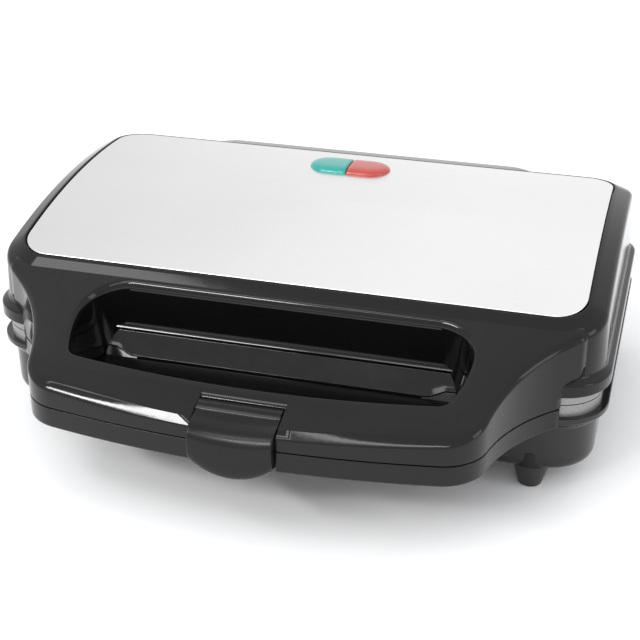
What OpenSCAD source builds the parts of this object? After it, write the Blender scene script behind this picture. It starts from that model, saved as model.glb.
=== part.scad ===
// Two-slice clamshell sandwich toaster with a hinged lid and a front latch.
// X runs to the right, Y to the back and Z up, in millimetres.

/* [Steel panel] */
// Width of the steel panel in the lid
panel_w = 250; // [240:1:260]
// Depth of the panel from its front edge to its back edge
panel_d = 130; // [124:1:136]
// Corner radius of the panel
panel_r = 13; // [9:1:17]
// Thickness of the sheet
panel_t = 0.8; // [0.6:0.1:1.2]
// Rise of the panel's crown above its chord
crown = 6.5; // [4:0.5:8]
// How much lower the panel's front edge lies than its back edge
panel_fall = 12; // [9:0.5:14]
// Gap round the panel in its recess
panel_gap = 0.6; // [0.4:0.1:1]

/* [Housing] */
// Height of the parting plane between lid and base
seam_h = 44; // [42:0.5:48]
// Height of the panel's back edge above the parting plane
lid_h = 48; // [46:0.5:52]
// Gap between the two halves at the parting plane
seam_gap = 0.4; // [0.3:0.1:0.6]
// Wall of the two housings
wall = 2.6; // [2:0.1:3]
// Width of the rim beside the panel
rim_w = 9; // [8:0.5:10]
// Depth of the rim in front of the panel
rim_front = 8; // [7:0.5:9]
// Drop of the rim's outer edge under the panel
rim_drop = 4; // [3:0.5:5]
// How far the lid's wall leans outwards by its foot
draft = 1; // [0.5:0.25:1.5]
// How far the lips stand out from the walls
lip_out = 2.8; // [2:0.1:3.2]
// Height of the lid lip's outer face
lip_h = 5.5; // [5:0.25:6]
// Height of the base lip's outer face
base_lip_h = 2.6; // [2:0.2:4]
// Height of the lid lip's underside above the parting plane
lip_rise = 5; // [4.5:0.25:6]
// Distance from the panel's back edge to the hinge axis
rear_reach = 22; // [20:0.5:25]
// Radius of the housing's front corners
front_r = 22; // [19:1:24]
// Radius of the housing's rear corners
rear_r = 16; // [14:1:19]
// Height of the base's underside above the table
ground_gap = 12; // [10:0.5:13]
// Width of the rear hinge cover at its foot
cover_w = 174; // [166:2:182]
// Width of the rear hinge cover at its top
cover_top_w = 148; // [140:2:156]

/* [Handle] */
// Reach of the handle in front of the panel
handle_reach = 75; // [72:0.5:78]
// Height of the handle's front edge above the parting plane
handle_h = 8; // [7:0.5:9]
// Height of the apron's top above the parting plane, beside the rim
apron_h = 31; // [29:0.5:32]
// Thickness of the base's half of the handle
handle_low = 9; // [8:0.5:10]
// Radius of the handle's bowed front
bow_r = 445; // [400:5:600]
// Turn of the bowed front from its middle to the corner, in degrees
bow_turn = 10.4; // [9.6:0.1:10.8]
// Radius of the handle's front corners
corner_r = 20; // [18:0.5:22]
// Radius of the flare from the handle to the housing
flare_r = 75; // [70:1:82]
// Width of the bar in front of the grip opening
bar_w = 21; // [20:0.5:22]
// Radius of the grip opening's front corners
grip_r = 20; // [18:0.5:22]
// Height of the shelf at the foot of the grip opening
shelf_h = 1.6; // [1.4:0.1:2]
// Depth of the shelf in front of the rim
shelf_reach = 9; // [7:0.5:10]
// Width of the bevel round the handle's top
bevel_w = 2.4; // [1.5:0.1:3]
// Depth of the bevel round the handle's top
bevel_h = 1.7; // [1:0.1:2.2]
// Width of the chamfer round the grip opening
grip_edge = 1.4; // [0.8:0.1:1.8]

/* [Latch] */
// Width of the latch
latch_w = 34.8; // [32:0.2:36]
// Gap between the latch and its slot
latch_gap = 0.3; // [0.25:0.05:0.5]
// Radius of the latch's barrel
barrel_r = 3.8; // [3.5:0.1:4]
// Radius of the latch pin
latch_pin_r = 1.5; // [1.25:0.05:1.75]
// How far the latch's front stands in front of the handle
latch_proud = 4.6; // [4.2:0.1:5]
// Engagement of the hook under the base's half of the handle
hook_bite = 1.2; // [1:0.05:1.25]
// Wall of the latch's plate
latch_wall = 4; // [3.6:0.1:4.2]

/* [Hinge] */
// Radius of the hinge knuckles
knuckle_r = 6; // [5.5:0.25:6.25]
// Radius of the hinge pins
hinge_pin_r = 2; // [1.75:0.05:2.25]
// Distance of each hinge from the centre plane
hinge_x = 60; // [54:1:64]
// Length of the lid's knuckle
knuckle_w = 11.4; // [10:0.2:13]
// Thickness of each ear on the base
ear_t = 6; // [5:0.5:7]
// Side gap between knuckle and ear
hinge_gap = 0.3; // [0.2:0.05:0.5]
// Radial clearance of a pin in a turning bore
running = 0.05; // [0.03:0.01:0.08]

/* [Cooking plates] */
// Gap between a plate's rim and the housing's lip line
plate_inset = 3.4; // [3:0.1:3.8]
// Thickness of a plate behind its cooking face
plate_t = 15; // [14.5:0.25:15.5]
// Depth of a sandwich pocket
pocket_depth = 11.5; // [10:0.25:12]
// Width of the sealing land round each pocket
land_w = 6; // [5:0.5:7]
// Radius of a pocket's corners at the cooking face
pocket_r = 9; // [8:0.5:10]
// Radius of the heating tube
heater_r = 3.25; // [3:0.05:3.4]
// Depth of the reflector trays
tray_h = 9; // [8.6:0.1:9.4]
// Thickness of the reflector trays' sheet
tray_t = 0.8; // [0.6:0.1:1]

/* [Fasteners and feet] */
// Radius of the housing screws
screw_r = 1.75; // [1.5:0.05:2]
// Radius of the screw heads
screw_head_r = 3.2; // [3:0.05:3.4]
// Distance of the housing screws from the centre plane
screw_x = 103; // [101:0.5:105]
// Distance of the front housing screws behind the panel's front edge
screw_front = 12; // [11:0.5:13]
// Distance of the rear housing screws in front of the panel's back edge
screw_back = 8; // [6:0.5:10]
// Outer radius of the screw posts
post_r = 5; // [4.6:0.1:5.4]
// Radius of a foot where it meets the base
foot_r = 8.5; // [7.5:0.25:9.5]
// Radius of a foot at the table
foot_tip_r = 5.2; // [4.5:0.1:6]
// Distance of the feet from the centre plane
foot_x = 108.5; // [105:0.5:112]

/* [Lamps] */
// Length of the two-colour lens
lens_w = 39.6; // [36:0.4:44]
// Depth of the lens
lens_d = 20; // [17:0.5:22]
// How far the lens stands above the panel
lens_rise = 2.4; // [1.8:0.1:3]
// Distance of the lens's middle in front of the panel's back edge
lens_back = 23; // [18:1:28]

/* [Hidden] */

round_fn = 64;
hull_fn = 32;
crown_fn = 240;
seam_half = seam_gap / 2;
lid_floor = seam_h + seam_half;
base_top = seam_h - seam_half;
panel_back_z = seam_h + lid_h;
panel_front_z = panel_back_z - panel_fall;

// The crown is part of a cylinder along X, worked out from its chord and rise
chord = sqrt(panel_d * panel_d + panel_fall * panel_fall);
crown_r = (chord * chord / 4 + crown * crown) / (2 * crown);
crown_y = panel_d / 2 + (crown_r - crown) * panel_fall / chord;
crown_z = (panel_front_z + panel_back_z) / 2 - (crown_r - crown) * panel_d / chord;
function crown_height(y, drop) =
    crown_z + sqrt(pow(crown_r - drop, 2) - pow(y - crown_y, 2));

// Half widths and ends of the housing, from the panel outwards
half_panel = panel_w / 2;
rim_x = half_panel + rim_w;
rim_back = panel_d + rim_w - 1;
wall_x = rim_x + draft;
wall_front = -rim_front - draft;
lip_x = wall_x + lip_out;
lip_front = wall_front - lip_out;
axis_y = panel_d + rear_reach;
axis_z = seam_h;
wall_back = axis_y - 2;
lip_chamfer = 1.5;
lid_lip_low = seam_h + lip_rise;
lid_lip_high = lid_lip_low + lip_h;
base_lip_high = seam_h - lip_rise - 0.5;
base_lip_low = base_lip_high - base_lip_h - lip_chamfer;
belly_round = 5;
belly_front = lip_front + 3;
belly_x = lip_x - 4;
far_up = 110;

// Handle: the front, and the sloping plane of the apron's top
bar_front = -handle_reach;
top_slope = (apron_h - handle_h) / (handle_reach - rim_front);
function apron_z(y) = seam_h + apron_h + top_slope * (y + rim_front);

// Plates
plate_x = lip_x - plate_inset;
plate_front = lip_front + plate_inset;
plate_back = axis_y - knuckle_r - 1.5;
plate_r = front_r - plate_inset;
block_x = plate_x - 10;
block_front = plate_front + 8;
block_back = plate_back - 8;
tray_gap = 2;
tray_x = block_x - tray_gap;
tray_front = block_front + tray_gap;
tray_back = block_back - tray_gap;
post_gap = 0.1;
head_h = 2.4;
thread_r = screw_r - 0.05;
clear_r = screw_r + 0.2;
screw_places = [for (x = [-screw_x, screw_x]) for (y = [screw_front, panel_d - screw_back]) [x, y]];
foot_boss = 0.5;
foot_front = belly_front + foot_r + foot_boss;
foot_behind = 4;
foot_back = panel_d + foot_behind;
feet_places = [for (x = [-foot_x, foot_x]) for (y = [foot_front, foot_back]) [x, y]];
foot_stem_r = 3;
foot_edge = 1.2;
foot_stem_h = 4;
lens_y = panel_d - lens_back;

// Latch: barrel axis on the handle, and the hook under the base's half
pin_setback = 11;
cheek = 5;
pin_in = 4.5;
latch_pin_l = latch_w + 2 * latch_gap + 2 * pin_in;
pin_y = bar_front + pin_setback;
pin_z = apron_z(pin_y) - barrel_r;
latch_front = bar_front - latch_proud;
latch_inner = latch_front + latch_wall;
catch_face = bar_front + 3;
hook_top = seam_h - seam_half - handle_low - 0.8;
hook_low = hook_top - 1.9;
tongue_low = hook_low - 1.8;
tongue_z = base_top - handle_low + 2.3;
slot_x = latch_w / 2 + latch_gap;
slot_back = pin_y + barrel_r + latch_gap;
bulge_r = 4.5;
bulge_turn = 80;

// Origin: the middle of the box in X and Y, on the table
front_most = latch_front;
back_most = axis_y + knuckle_r;
mid_y = (front_most + back_most) / 2;

// Points of an arc that starts at `from` with heading `h` and turns by `turn` degrees
function arc_centre(from, h, r, side) = from + side * r * [-sin(h), cos(h)];
function arc_points(from, h, r, turn, n) =
    let (side = turn > 0 ? 1 : -1, c = arc_centre(from, h, r, side))
    [for (i = [0 : n]) c - side * r * [-sin(h + turn * i / n), cos(h + turn * i / n)]];
function last(list) = list[len(list) - 1];
function mirrored(pts) = [for (i = [len(pts) - 1 : -1 : 0]) [-pts[i][0], pts[i][1]]];

// Right half of the handle's outline, inset by `in`: bowed front, corner, flare
corner_turn = 68;
flare_turn = -36;
wall_root = 2;
tail = 11;
tail_turn = bow_turn + corner_turn + flare_turn;
function handle_half(in) =
    let (bow = arc_points([0, bar_front + in], 0, bow_r - in, bow_turn, 6),
         corner = arc_points(last(bow), bow_turn, corner_r - in, corner_turn, 10),
         flare = arc_points(last(corner), bow_turn + corner_turn, flare_r + in,
                            flare_turn, 8),
         end = last(flare) + tail * [cos(tail_turn), sin(tail_turn)])
    concat([for (i = [1 : len(bow) - 1]) bow[i]],
           [for (i = [1 : len(corner) - 1]) corner[i]],
           [for (i = [1 : len(flare) - 1]) flare[i]],
           [end, [end[0], wall_root]]);
function handle_outline(in) =
    let (half = handle_half(in))
    concat(mirrored(half), [[0, bar_front + in]], half);

// Right half of the grip opening, grown by `out`: bowed front, corner and back corner
grip_front = bar_front + bar_w;
grip_bow = 6.5;
grip_bow_r = 600;
grip_side = 98;
grip_back_r = 7;
function grip_half(out) =
    let (bow = arc_points([0, grip_front - out], 0, grip_bow_r + out, grip_bow, 5),
         corner = arc_points(last(bow), grip_bow, grip_r + out, grip_side - grip_bow, 9),
         back_end = -rim_front - grip_back_r,
         run = (back_end - last(corner)[1] - grip_back_r * cos(grip_side)) / sin(grip_side),
         side_end = last(corner) + max(run, 0.5) * [cos(grip_side), sin(grip_side)],
         back = arc_points(side_end, grip_side, grip_back_r + out, 180 - grip_side, 5))
    concat([for (i = [1 : len(bow) - 1]) bow[i]],
           [for (i = [1 : len(corner) - 1]) corner[i]],
           back);
function grip_outline(out) =
    let (half = grip_half(out))
    concat(mirrored(half), [[0, grip_front - out]], half);

// Shared shapes
module place() {
    translate([0, -mid_y, 0]) children();
}

// Rounded rectangle with its own front and rear corner radii
module outline(x, y0, y1, rf, rb) {
    translate([-(x - rf), y0]) square([2 * (x - rf), y1 - y0 - rb]);
    translate([-x, y0 + rf]) square([2 * x, y1 - y0 - rf - rb]);
    translate([-(x - rb), y0 + rf]) square([2 * (x - rb), y1 - y0 - rf]);
    for (side = [-1, 1]) {
        translate([side * (x - rf), y0 + rf]) circle(r = rf);
        translate([side * (x - rb), y1 - rb]) circle(r = rb);
    }
}

// Slab of that outline between two heights
module slab(x, y0, y1, rf, rb, z0, z1) {
    translate([0, 0, z0]) linear_extrude(height = z1 - z0)
        outline(x, y0, y1, rf, rb);
}

// Everything under the crown, lowered by `drop`
module under_crown(drop) {
    translate([-lip_x - 20, crown_y, crown_z]) rotate([0, 90, 0])
        cylinder(r = crown_r - drop, h = 2 * lip_x + 40, $fn = crown_fn);
}

// Everything under the apron's top plane, lowered by `drop`, from height z0 up
module under_apron(drop, z0) {
    y0 = bar_front - 5;
    y1 = 2;
    translate([-lip_x - 10, 0, 0]) rotate([90, 0, 90])
        linear_extrude(height = 2 * lip_x + 20)
            polygon([[y0, z0], [y1, z0], [y1, apron_z(y1) - drop],
                     [y0, apron_z(y0) - drop]]);
}

// Cylinder along X, centred on x = 0
module bar_x(r, length, y, z, fn = round_fn) {
    translate([-length / 2, y, z]) rotate([0, 90, 0])
        cylinder(r = r, h = length, $fn = fn);
}

// Lid form: crowned top, rounded rim and drafted walls, inset by `in`
module lid_form(in, foot_z) {
    hull() {
        intersection() {
            slab(half_panel + 1.5 - in, in - 1.5, panel_d + 1.5 - in, panel_r, panel_r,
                 seam_h + 25, far_up, $fn = hull_fn);
            under_crown(in == 0 ? 0 : in + panel_t);
        }
        intersection() {
            slab(rim_x - in, in - rim_front, rim_back - in, front_r - 3, rear_r,
                 seam_h + 20, far_up, $fn = hull_fn);
            under_crown(in + rim_drop);
        }
        slab(wall_x - in, wall_front + in, wall_back - in, front_r - 1, rear_r,
             foot_z, foot_z + 0.5, $fn = hull_fn);
    }
}

// Lip that flares out round the foot of the lid's wall
module lid_lip() {
    hull() {
        slab(wall_x, wall_front, wall_back, front_r - 1, rear_r,
             lid_lip_high, lid_lip_high + lip_chamfer, $fn = hull_fn);
        slab(lip_x, lip_front, axis_y, front_r, rear_r,
             lid_lip_low, lid_lip_high, $fn = hull_fn);
    }
}

// Rounded cover over the hinges, wider at its foot
cover_r = 3;
module hinge_cover() {
    y0 = panel_d + 2;
    side_z = panel_back_z - 12;
    top_z = panel_back_z - 3;
    hull() for (side = [-1, 1])
        for (p = [[cover_w / 2, side_z], [cover_top_w / 2, top_z]])
            translate([side * (p[0] - cover_r), wall_back, p[1] - cover_r])
                rotate([90, 0, 0]) cylinder(r = cover_r, h = wall_back - y0, $fn = hull_fn);
    translate([-cover_w / 2, y0, lid_lip_low])
        cube([cover_w, wall_back - y0, side_z - cover_r - lid_lip_low]);
}

module apron_solid(in, drop, z0) {
    intersection() {
        translate([0, 0, z0]) linear_extrude(height = far_up - z0)
            polygon(handle_outline(in));
        under_apron(drop, z0);
    }
}

// Solid between rings of equal length, given from the lowest to the highest. Each ring
// is mirrored about x = 0, so its caps are strips from side to side
module loft(rings) {
    n = len(rings[0]);
    half = (n - 1) / 2;
    top = (len(rings) - 1) * n;
    polyhedron(
        points = [for (r = rings) for (p = r) p],
        faces = concat(
            [for (i = [0 : half - 2]) [i, i + 1, n - 2 - i, n - 1 - i]],
            [[half - 1, half, half + 1]],
            [for (k = [0 : len(rings) - 2]) for (i = [0 : n - 1])
                [(k + 1) * n + i, (k + 1) * n + (i + 1) % n, k * n + (i + 1) % n, k * n + i]],
            [for (i = [0 : half - 2])
                [top + n - 1 - i, top + n - 2 - i, top + i + 1, top + i]],
            [[top + half + 1, top + half, top + half - 1]]),
        convexity = 6);
}
function at_z(pts, z) = [for (p = pts) [p[0], p[1], z]];
function on_apron(pts, drop) = [for (p = pts) [p[0], p[1], apron_z(p[1]) - drop]];

// The handle's outer form, with the bevel round its sloping top
module bevelled_apron(z0) {
    loft([at_z(handle_outline(0), z0), on_apron(handle_outline(0), bevel_h),
          on_apron(handle_outline(bevel_w), 0)]);
}

// Chamfer round the top of the grip opening, as a solid to cut away
module grip_chamfer() {
    over = 1;
    loft([on_apron(grip_outline(-0.2), grip_edge + 0.2),
          on_apron(grip_outline(grip_edge + over), -over)]);
}

module grip_cut(out, z0, z1) {
    translate([0, 0, z0]) linear_extrude(height = z1 - z0)
        polygon(grip_outline(out));
}

module lid_knuckles() {
    for (side = [-1, 1]) translate([side * hinge_x, 0, 0]) {
        bar_x(knuckle_r, knuckle_w, axis_y, axis_z);
        translate([-knuckle_w / 2, axis_y - knuckle_r, axis_z])
            cube([knuckle_w, knuckle_r, lid_lip_high - axis_z]);
    }
}

module base_ears() {
    for (side = [-1, 1]) for (ear = [-1, 1])
        translate([side * hinge_x + ear * (knuckle_w / 2 + hinge_gap + ear_t / 2), 0, 0]) {
            bar_x(knuckle_r, ear_t, axis_y, axis_z);
            translate([-ear_t / 2, axis_y - knuckle_r, axis_z - 18])
                cube([ear_t, 2 * knuckle_r, 18]);
        }
}

// Room for the knuckles and ears of the other half
module hinge_room(length) {
    for (side = [-1, 1]) translate([side * hinge_x, 0, 0])
        bar_x(knuckle_r + 0.6, length, axis_y, axis_z);
}

ears_w = knuckle_w + 2 * hinge_gap + 2 * ear_t;
post_top = lid_floor + plate_t + tray_h;
post_low = base_top - plate_t - tray_h;
head_seat_up = post_top + 2.2;
head_seat_low = post_low - 2.2;

module upper_shell() {
    color("#303032") place() difference() {
        union() {
            difference() {
                union() {
                    lid_form(0, lid_lip_high);
                    lid_lip();
                    hinge_cover();
                }
                lid_cavity();
                hinge_room(ears_w + 2 * hinge_gap);
            }
            lid_posts();
            upper_apron();
            lid_knuckles();
        }
        panel_recess();
        lens_hole(0.2);
        for (p = screw_places) translate([p[0], p[1], 0]) {
            translate([0, 0, post_top - 1])
                cylinder(r = clear_r, h = far_up - post_top, $fn = round_fn);
            translate([0, 0, head_seat_up])
                cylinder(r = screw_head_r + 0.3, h = far_up - head_seat_up, $fn = round_fn);
        }
        bar_x(hinge_pin_r + running, 2 * (hinge_x + knuckle_w), axis_y, axis_z);
        bar_x(latch_pin_r + 0.02, latch_pin_l + 2 * pin_in, pin_y, pin_z);
    }
}

// Hollow of the lid, open downwards
module lid_cavity() {
    lid_form(wall, lid_lip_high - wall);
    slab(plate_x + 0.3, plate_front - 0.3, plate_back + 0.3, plate_r, plate_r,
         lid_lip_low - 1, lid_lip_low, $fn = round_fn);
    slab(wall_x - wall, wall_front + wall, plate_back - 1, front_r - wall, rear_r,
         lid_lip_low - 1, lid_lip_high, $fn = round_fn);
}

module lid_posts() {
    for (p = screw_places)
        intersection() {
            translate([p[0], p[1], post_top + post_gap])
                cylinder(r = post_r, h = far_up - post_top, $fn = round_fn);
            under_crown(panel_t + 1);
        }
}

module panel_recess() {
    difference() {
        slab(half_panel + panel_gap, -panel_gap, panel_d + panel_gap,
             panel_r + panel_gap, panel_r + panel_gap, seam_h + 25, far_up + 5,
             $fn = round_fn);
        under_crown(panel_t);
    }
}

module lens_outline(grow) {
    half = lens_w / 2 - lens_d / 2;
    translate([-half, -lens_d / 2 - grow]) square([2 * half, lens_d + 2 * grow]);
    for (side = [-1, 1])
        translate([side * half, 0]) circle(r = lens_d / 2 + grow, $fn = round_fn);
}

module lens_hole(grow) {
    translate([0, lens_y, seam_h + 30]) linear_extrude(height = far_up)
        lens_outline(grow);
}

// Hollow apron with the grip opening, the latch slot and the shelf at its foot
module upper_apron() {
    difference() {
        bevelled_apron(lid_floor);
        difference() {
            apron_solid(wall, wall, lid_floor - 1);
            grip_cut(wall, lid_floor - 2, far_up);
            latch_cheeks();
        }
        grip_cut(0, lid_lip_low, far_up);
        grip_chamfer();
        grip_in_front(lip_front, lid_floor + shelf_h, lid_lip_low + 1);
        shelf_cut(lid_floor - 1, lid_floor + shelf_h + 1);
        latch_slot();
        tail_cut(lid_floor - 1, lid_lip_low);
        slab(plate_x + 0.3, plate_front - 0.3, plate_back + 0.3, plate_r, plate_r,
             lid_floor - 1, lid_lip_low, $fn = round_fn);
        slab(wall_x - wall, wall_front + wall, plate_back, front_r - wall, rear_r,
             lid_floor - 1, lid_lip_high, $fn = round_fn);
    }
}

// Beside the plates both halves of the handle end with the flare
module tail_cut(z0, z1) {
    half = handle_half(0);
    flare_end = half[len(half) - 3];
    for (side = [-1, 1])
        translate([side > 0 ? flare_end[0] : -lip_x, flare_end[1] - 1, z0])
            cube([lip_x - flare_end[0], tail + 10, z1 - z0]);
}

// The part of the grip opening in front of y_end, between two heights
module grip_in_front(y_end, z0, z1) {
    intersection() {
        grip_cut(0, z0, z1);
        translate([-lip_x, bar_front, z0 - 1])
            cube([2 * lip_x, y_end - bar_front, z1 - z0 + 2]);
    }
}

// The shelf's front edge is straight, and swings back near both ends
swing = 7;
swing_x = 74;
swing_w = 4.2;
function shelf_edge(x) =
    -rim_front - shelf_reach + swing * exp(-pow((abs(x) - swing_x) / swing_w, 2));

module shelf_cut(z0, z1) {
    intersection() {
        grip_cut(0, z0, z1);
        translate([0, 0, z0 - 1]) linear_extrude(height = z1 - z0 + 2)
            polygon(concat([for (x = [-wall_x : 2 : wall_x]) [x, shelf_edge(x)]],
                           [[wall_x, bar_front], [-wall_x, bar_front]]));
    }
}

module latch_cheeks() {
    translate([-slot_x - cheek, bar_front - cheek, lid_floor - 2])
        cube([2 * (slot_x + cheek), slot_back - bar_front + cheek + wall, far_up]);
}

module latch_slot() {
    past = 2 * latch_proud;
    translate([-slot_x, bar_front - past, lid_floor - past])
        cube([2 * slot_x, slot_back - bar_front + past, far_up]);
}

module steel_panel() {
    color("#e4e4e2") place() difference() {
        intersection() {
            slab(half_panel, 0, panel_d, panel_r, panel_r, seam_h + 25, far_up,
                 $fn = round_fn);
            under_crown(0);
        }
        under_crown(panel_t);
        lens_hole(0.2);
    }
}

module lens_half(side) {
    place() intersection() {
        translate([0, lens_y, housing_top]) linear_extrude(height = far_up)
            lens_outline(0);
        under_crown(-lens_rise);
        translate([side > 0 ? 0.05 : -lens_w, 0, 0])
            cube([lens_w - 0.05, panel_d, far_up + 20]);
    }
}

housing_w = lens_w + 8;
housing_d = lens_d + 6;
housing_h = 11;
roof_t = panel_t + wall;
housing_top = crown_height(lens_y + housing_d / 2, roof_t) - 2.5;
neon_r = 2.6;
neon_l = 12;

module green_lens() {
    color("#1fa08a") lens_half(-1);
}

module red_lens() {
    color("#d8352f") lens_half(1);
}

// Carrier under the lid's roof with one chamber for each lamp
module lamp_housing() {
    color("#d9d4c6") place() difference() {
        intersection() {
            translate([-housing_w / 2, lens_y - housing_d / 2, housing_top - housing_h])
                cube([housing_w, housing_d, housing_h + 6]);
            under_crown(roof_t + 0.05);
        }
        for (side = [-1, 1])
            translate([side * lens_w / 4 - 8, lens_y - 7, housing_top - housing_h + 1.6])
                cube([16, 14, housing_h + 10]);
        translate([0, lens_y, housing_top]) linear_extrude(height = far_up)
            lens_outline(0.1);
    }
}

module neon_lamps() {
    color("#f0a060") place() for (side = [-1, 1])
        translate([side * lens_w / 4, lens_y, housing_top - housing_h + 1.6 + neon_r]) {
            bar_x(neon_r, neon_l - 2 * neon_r, 0, 0);
            for (end = [-1, 1])
                translate([end * (neon_l / 2 - neon_r), 0, 0])
                    sphere(r = neon_r, $fn = round_fn);
        }
}

// One half's cooking plate, drawn face up at z = 0 with its back below
module plate_body(rim_t) {
    difference() {
        union() {
            slab(plate_x, plate_front, plate_back, plate_r, plate_r, -rim_t, 0,
                 $fn = round_fn);
            slab(block_x, block_front, block_back, plate_r, plate_r, -plate_t, -rim_t + 1,
                 $fn = round_fn);
            for (p = screw_places) translate([p[0], p[1], -plate_t - tray_h + tray_t])
                cylinder(r = post_r, h = tray_h, $fn = round_fn);
        }
        for (side = [-1, 1]) pocket_pair(side);
        for (p = screw_places) translate([p[0], p[1], -plate_t - tray_h - 1])
            cylinder(r = thread_r, h = tray_h + 2, $fn = round_fn);
    }
}

// Two triangular pockets divided by a diagonal cutting rib
module pocket_pair(side) {
    x0 = land_w / 2 + pocket_r;
    x1 = block_x - 3 - pocket_r;
    y0 = block_front + 3 + pocket_r;
    y1 = block_back - 3 - pocket_r;
    rib = pocket_r * 1.7 + land_w;
    pocket([[side * x0, y0], [side * (x1 - rib), y0], [side * x0, y1 - rib]]);
    pocket([[side * x1, y1], [side * (x0 + rib), y1], [side * x1, y0 + rib]]);
}

module pocket(corners) {
    hull() for (c = corners)
        translate([c[0], c[1], -pocket_depth])
            cylinder(r1 = pocket_r * 0.45, r2 = pocket_r, h = pocket_depth + 0.01,
                     $fn = 24);
}

// Heating tube bent into an open loop on the back of a plate
heater_side = 39;
heater_inset = 24;
heater_x = half_panel - heater_side;
heater_front = block_front + heater_inset;
heater_back = block_back - heater_inset;
heater_bend = 20;
heater_end = 14;
terminal_r = 1.2;
terminal_l = 6;

module heater_tube() {
    place_z = -plate_t - heater_r;
    translate([0, 0, place_z]) {
        for (side = [-1, 1]) {
            translate([side * heater_x, heater_front + heater_bend, 0]) rotate([-90, 0, 0])
                cylinder(r = heater_r, h = heater_back - heater_front - 2 * heater_bend,
                         $fn = round_fn);
            tube_bend(side, heater_front + heater_bend, side > 0 ? -90 : 180);
            tube_bend(side, heater_back - heater_bend, side > 0 ? 0 : 90);
            translate([side * heater_end, heater_back, 0]) rotate([0, side * 90, 0])
                cylinder(r = heater_r, h = heater_x - heater_bend - heater_end,
                         $fn = round_fn);
            translate([side * heater_end, heater_back, 0]) rotate([0, -side * 90, 0])
                cylinder(r = terminal_r, h = terminal_l, $fn = round_fn);
        }
        bar_x(heater_r, 2 * (heater_x - heater_bend), heater_front, 0);
    }
}

module tube_bend(side, y, start) {
    translate([side * (heater_x - heater_bend), y, 0]) rotate([0, 0, start])
        rotate_extrude(angle = 90, $fn = round_fn)
            translate([heater_bend, 0]) circle(r = heater_r, $fn = round_fn);
}

// Shallow sheet tray over the heating tube, its rim against the plate
module tray() {
    difference() {
        slab(tray_x, tray_front, tray_back, plate_r, plate_r, -plate_t - tray_h, -plate_t,
             $fn = round_fn);
        slab(tray_x - tray_t, tray_front + tray_t, tray_back - tray_t, plate_r - tray_t,
             plate_r - tray_t, -plate_t - tray_h + tray_t, -plate_t + 1, $fn = round_fn);
        for (p = screw_places) translate([p[0], p[1], -plate_t - tray_h - 1])
            cylinder(r = clear_r, h = tray_h, $fn = round_fn);
        for (side = [-1, 1])
            translate([side * lead_x - 2, tray_back - 5, -plate_t - 6])
                cube([4, 10, 7]);
    }
}

lead_x = 20;

module in_lid() {
    place() translate([0, 0, lid_floor]) mirror([0, 0, 1]) children();
}

module in_base() {
    place() translate([0, 0, base_top]) children();
}

module upper_plate() {
    color("#55585a") in_lid() plate_body(lip_rise - seam_half);
}

module lower_plate() {
    color("#55585a") in_base() plate_body(base_top - base_lip_high);
}

module upper_heater() {
    color("#8b8f90") in_lid() heater_tube();
}

module lower_heater() {
    color("#8b8f90") in_base() heater_tube();
}

module upper_reflector() {
    color("#c9cccd") in_lid() tray();
}

module lower_reflector() {
    color("#c9cccd") in_base() tray();
}

// Screw with its shank along -Z from under a pan head
module screw(length) {
    translate([0, 0, -length]) cylinder(r = thread_r, h = length + 0.5, $fn = round_fn);
    difference() {
        cylinder(r = screw_head_r, h = head_h, $fn = round_fn);
        for (turn = [0, 90]) rotate([0, 0, turn])
            translate([-2.2, -0.5, head_h - 1.2]) cube([4.4, 1, 2]);
    }
}

screw_l = head_seat_up - post_top + tray_h - 1;

module lid_screws() {
    color("#a8abac") place() for (p = screw_places)
        translate([p[0], p[1], head_seat_up]) screw(screw_l);
}

module base_screws() {
    color("#a8abac") place() for (p = screw_places)
        translate([p[0], p[1], head_seat_low]) mirror([0, 0, 1]) screw(screw_l);
}

// Latch: barrel on the pin, bulging plate and hook
module latch() {
    color("#2a2a2b") place() difference() {
        intersection() {
            translate([-latch_w / 2, 0, 0]) rotate([90, 0, 90])
                linear_extrude(height = latch_w) latch_profile();
            latch_front_view();
        }
        bar_x(latch_pin_r + running, latch_w + 2, pin_y, pin_z);
    }
}

// Side profile of the latch, in Y and Z
module latch_profile() {
    shoulder = latch_front + bulge_r * sin(bulge_turn);
    translate([pin_y, pin_z]) circle(r = barrel_r, $fn = round_fn);
    polygon(concat(
        [[pin_y - 1, pin_z + barrel_r - 0.15], [pin_y - 5.5, pin_z + 0.4],
         [shoulder, pin_z - 0.6]],
        arc_points([shoulder, pin_z - 0.6], 180, bulge_r, bulge_turn, 5),
        [[latch_front + 0.1, seam_h - 5], [latch_front + 0.4, tongue_low + 3.2],
         [latch_front + 1.4, tongue_low + 1], [latch_front + 3, tongue_low],
         [latch_inner + 0.4, tongue_low + 0.6], [latch_inner + 1.4, hook_low],
         [catch_face + hook_bite, hook_low + 0.3],
         [catch_face + hook_bite, hook_top], [latch_inner, hook_top],
         [latch_inner, pin_z - 6], [pin_y - 1, pin_z - barrel_r + 0.15]]));
}

// Front view of the latch: straight sides and a round tongue at the foot
module latch_front_view() {
    tongue_h = tongue_z - tongue_low;
    tongue_r = (pow(latch_w / 2, 2) + pow(tongue_h, 2)) / (2 * tongue_h);
    past = 2 * barrel_r;
    translate([0, pin_y + past, 0]) rotate([90, 0, 0])
        linear_extrude(height = pin_y - latch_front + 2 * past) {
        translate([-latch_w / 2, tongue_z]) square([latch_w, pin_z + past - tongue_z]);
        intersection() {
            translate([0, tongue_low + tongue_r]) circle(r = tongue_r, $fn = 128);
            translate([-latch_w / 2, tongue_low - 1]) square([latch_w, tongue_h + 2]);
        }
    }
}

module latch_pin() {
    color("#b4b6b8") place() bar_x(latch_pin_r, latch_pin_l, pin_y, pin_z);
}

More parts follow.
